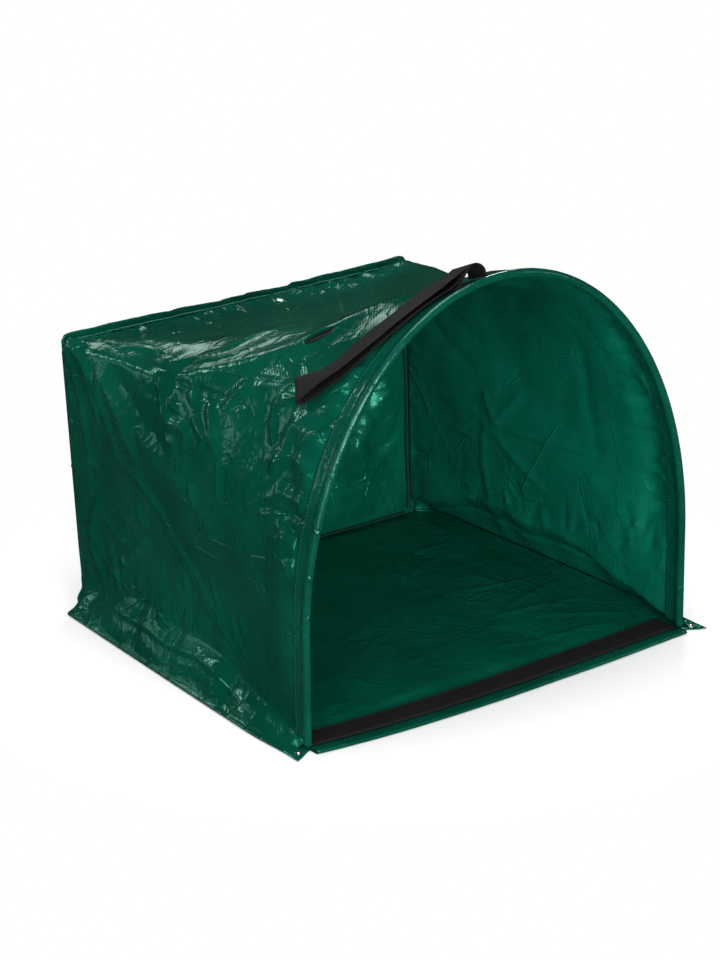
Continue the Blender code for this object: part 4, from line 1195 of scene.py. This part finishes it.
# Stations of the flopped loop: depth, share of half the mouth's width, heights of the outer and the
# inner ply over the hood, and the lean of the outer ply in degrees.
handle_route = (
    (0.050, 0.200, 0.0166, 0.0080, -2),
    (0.053, 0.220, 0.0151, 0.0054, -2),
    (0.056, 0.240, 0.0140, 0.0047, -2),
    (0.059, 0.263, 0.0124, 0.0044, -2),
    (0.062, 0.300, 0.0109, 0.0044, -3),
    (0.065, 0.353, 0.0097, 0.0046, -7),
    (0.071, 0.450, 0.0099, 0.0052, -14),
    (0.082, 0.515, 0.0099, 0.0050, -14),
    (0.096, 0.581, 0.0106, 0.0048, -18),
    (0.114, 0.643, 0.0112, 0.0048, -24),
    (0.139, 0.690, 0.0118, 0.0043, -27),
    (0.162, 0.723, 0.0130, 0.0040, -17),
    (0.181, 0.746, 0.0145, 0.0042, -8),
)


def crown_degrees(x, depth):
    """The angle down from the crown at which the hood's section passes x."""
    section = Section(depth)
    return math.degrees(math.asin((abs(x) - section.flat) / section.across))


def crown_point(depth, degrees, lift=0.0):
    return hood_point(depth, -1, "corner", 1 - degrees / 90, lift)


handle_edges = (
    ((ROD_Y + HANDLE_SETBACK - MOUTH_Y) / BAG_DEPTH, BULB + PLY / 2),
    ((ROD_Y + HANDLE_SETBACK + WEBBING_WIDTH - MOUTH_Y) / BAG_DEPTH, PLY_STEP + PLY / 2),
)


def root_edges(x, rise):
    """Front and back edge of the strap where it stands over the sleeve at x."""
    edges = []
    for held, (depth, clear) in zip((1.0, 0.8), handle_edges):
        point = crown_point(depth, crown_degrees(x, depth), clear + PLAY + WEBBING_THICKNESS / 2)
        edges.append(point + Vector((0, 0, rise * held)))
    return edges


handle_root = root_edges(HANDLE_ROOT_X, HANDLE_APEX_RISE)
handle_pivot = (handle_root[0] + handle_root[1]) / 2
handle_axis = (handle_root[1] - handle_root[0]).normalized()
strap_profile = rounded(WEBBING_WIDTH, WEBBING_THICKNESS, 4, 0.0)
STRAP_SPACING = 0.0015


def strap_piece(name, edges):
    """Webbing through pairs of front and back points, smoothed."""
    pairs = smooth_path([(*front, *back) for front, back in edges], STRAP_SPACING)
    middle = (pairs[:, :3] + pairs[:, 3:]) / 2
    across = pairs[:, 3:] - pairs[:, :3]
    up = np.cross(np.gradient(middle, axis=0), across)
    return swept(name, middle, across, up, strap_profile, [BLACK_WEBBING])


feet, normals = [], []
for depth, out, high, low, _ in handle_route:
    degrees = crown_degrees(out * HALF_MOUTH, depth)
    foot = crown_point(depth, degrees)
    feet.append((foot, (crown_point(depth, degrees, WEBBING_THICKNESS) - foot).normalized(), high, low))
    behind = crown_point(depth + 0.03, degrees) - crown_point(depth - 0.03, degrees)
    beside = crown_point(depth, degrees + 3) - crown_point(depth, degrees - 3)
    normals.append(behind.cross(beside).normalized())
centres = [foot + outward * (high + low) / 2 for foot, outward, high, low in feet]
upper, lower = [], []
for k, (foot, outward, high, low) in enumerate(feet):
    before = centres[k - 1] if k else handle_pivot
    way = (centres[min(k + 1, len(centres) - 1)] - before).normalized()
    across = way.cross(normals[k]).normalized()
    across = across if across.dot(handle_axis) > 0 else -across
    across = handle_axis.lerp(across, min(1.0, (k + 1) / 7)).normalized()
    up = across.cross(way).normalized()
    up = up if up.dot(normals[k]) > 0 else -up
    for ply, height, share in ((upper, high, 1.0), (lower, low, 0.35 if k < len(feet) - 1 else 1.0)):
        lean = math.radians(handle_route[k][4] * share)
        half = (across * math.cos(lean) + up * math.sin(lean)) * WEBBING_WIDTH / 2
        ply.append((foot + outward * height - half, foot + outward * height + half))
rise = outward * (high - low) / 2
turns = [math.pi * k / 6 for k in range(1, 6)]
bend = [centres[-1] + rise * math.cos(t) + way * rise.length * 1.2 * math.sin(t) for t in turns]
root = handle_axis * WEBBING_WIDTH / 2
first = handle_pivot + Vector((-0.0008, 0, 0.0008))
hairpin = [(-0.0016, 0, -0.0010), (0.0007, 0, -0.0020), (-0.0010, 0, -0.0030)]
hairpin = [handle_pivot + Vector(step) for step in hairpin]
loop_edges = [(first - root, first + root)] + upper + [(p - half, p + half) for p in bend]
loop_edges += list(reversed(lower)) + [(p - root, p + root) for p in hairpin]
carry_loop = strap_piece("carry_loop", loop_edges)
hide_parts("handle_loop")
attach(carry_loop, "handle")
for side, name in ((-1, "handle_end_left"), (1, "handle_end_right")):
    foot_x = HANDLE_ROOT_X + 0.004 + side * HANDLE_ROOT_SPAN / 2
    top_x = HANDLE_ROOT_X + (0.0008 if side > 0 else -0.0020)
    top_rise = HANDLE_APEX_RISE + (0.0008 if side > 0 else -0.0031)
    edges = [root_edges(foot_x + side * HANDLE_FOOT, 0), root_edges(foot_x, 0)]
    for k in range(1, 5):
        turn = math.pi / 2 * k / 4
        x = between(foot_x, top_x, 1 - math.cos(turn) if side > 0 else k / 4)
        edges.append(root_edges(x, top_rise * (math.sin(turn) if side > 0 else k / 4)))
    end = strap_piece("strap_" + name, edges)
    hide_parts(name)
    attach(end, "mouth_frame")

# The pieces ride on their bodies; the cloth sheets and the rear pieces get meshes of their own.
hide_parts("hood_sheet")
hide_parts("slot_binding")
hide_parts("floor_panel")
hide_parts("rear_panel")
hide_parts("arch_hem")
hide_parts("front_hem")
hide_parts("front_webbing")
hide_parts("front_batten")
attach(bowed_batten, "mouth_frame")
held_pieces = (arch_sleeve, outer_thread, inner_thread, front_lip, lip_thread, floor_webbing)
for piece in (*held_pieces, *webbing_threads, *rivets):
    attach(piece, "mouth_frame")
for piece in (hood_cloth, slot_tape, floor_cloth):
    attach(piece, "mouth_frame")
    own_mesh(piece)
for piece in rear_strips:
    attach(piece, "rear_end")
    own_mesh(piece)

# Ground and lamps: a plain pale floor that fades into a white backdrop, a big soft lamp in front
# on the left, two lower ones that look into the mouth, a weak one on the right and one overhead,
# and behind the bag two soft ones for the folds and two small bright ones for the glints.
bpy.ops.object.select_all(action="DESELECT")
bpy.ops.mesh.primitive_plane_add(size=30, location=(0, 0, -0.0003))
ground = bpy.context.object
ground.name = "ground"
made_ground, shader, place = finish("pale_ground")
join(shader, Base_Color=(0.92, 0.92, 0.92, 1), Roughness=0.9, Specular_IOR_Level=0.0)
away = place.node("ShaderNodeVectorMath", {"operation": "LENGTH"}, {0: place}, "Value")
looked_at = place.node("ShaderNodeLightPath", {}, {}, "Is Camera Ray")
white = place.node("ShaderNodeEmission", {}, {"Color": (1, 1, 1, 1), "Strength": 1.0})
plain = Paint(made_ground.node_tree, shader.outputs[0])
faded = {0: away.clear(0.28, 0.62) * looked_at, 1: plain, 2: white}
seen_ground = place.node("ShaderNodeMixShader", {}, faded)
feed(made_ground.node_tree.nodes["Material Output"].inputs["Surface"], seen_ground)
ground.data.materials.append(made_ground)
ground.visible_glossy = False
for name, spot, aim, size, radiance in (
    ("front_lamp", (-1.90, -1.75, 1.45), (0, 0, 0.2), (1.5, 1.2), 5.4),
    ("mouth_lamp", (-0.8, -3.0, 0.95), (0.1, 0, 0.2), (1.3, 1.0), 17.0),
    ("low_lamp", (-2.3, -2.4, 0.50), (0.1, 0, 0.2), (0.7, 0.6), 8.0),
    ("top_lamp", (-0.2, -0.1, 2.6), (0, 0, 0.2), (1.5, 1.5), 6.3),
    ("fold_lamp", (-2.0, 2.45, 0.80), (0, 0, 0.2), (0.9, 0.6), 1.3),
    ("back_lamp", (0.42, 2.85, 1.80), (0, 0, 0.3), (0.8, 0.6), 3.4),
    ("glint_left", (-1.35, 2.55, 1.70), (0, 0, 0.3), (0.30, 0.30), 15.0),
    ("glint_right", (1.77, 1.62, 2.42), (0, 0, 0.3), (0.50, 0.80), 24.0),
    ("side_lamp", (2.2, -2.2, 0.9), (0, 0, 0.2), (0.7, 0.7), 3.0),
):
    data = bpy.data.lights.new(name, "AREA")
    data.shape = "RECTANGLE"
    data.size, data.size_y = size
    data.energy = radiance * math.pi * size[0] * size[1]
    lamp = placed(name, data)
    lamp.location = spot
    lamp.rotation_euler = (Vector(aim) - Vector(spot)).to_track_quat("-Z", "Y").to_euler()
world = bpy.data.worlds.new("studio")
bpy.context.scene.world = world
world.use_nodes = True
air = Paint(world.node_tree)
backdrop = world.node_tree.nodes["Background"]
seen = air.node("ShaderNodeLightPath", {}, {}, "Is Camera Ray")
mirrored = air.node("ShaderNodeLightPath", {}, {}, "Is Glossy Ray")
feed(backdrop.inputs["Strength"], seen + (1.0 - seen) * (0.25 - mirrored * 0.23))
backdrop.inputs["Color"].default_value = (1, 1, 1, 1)
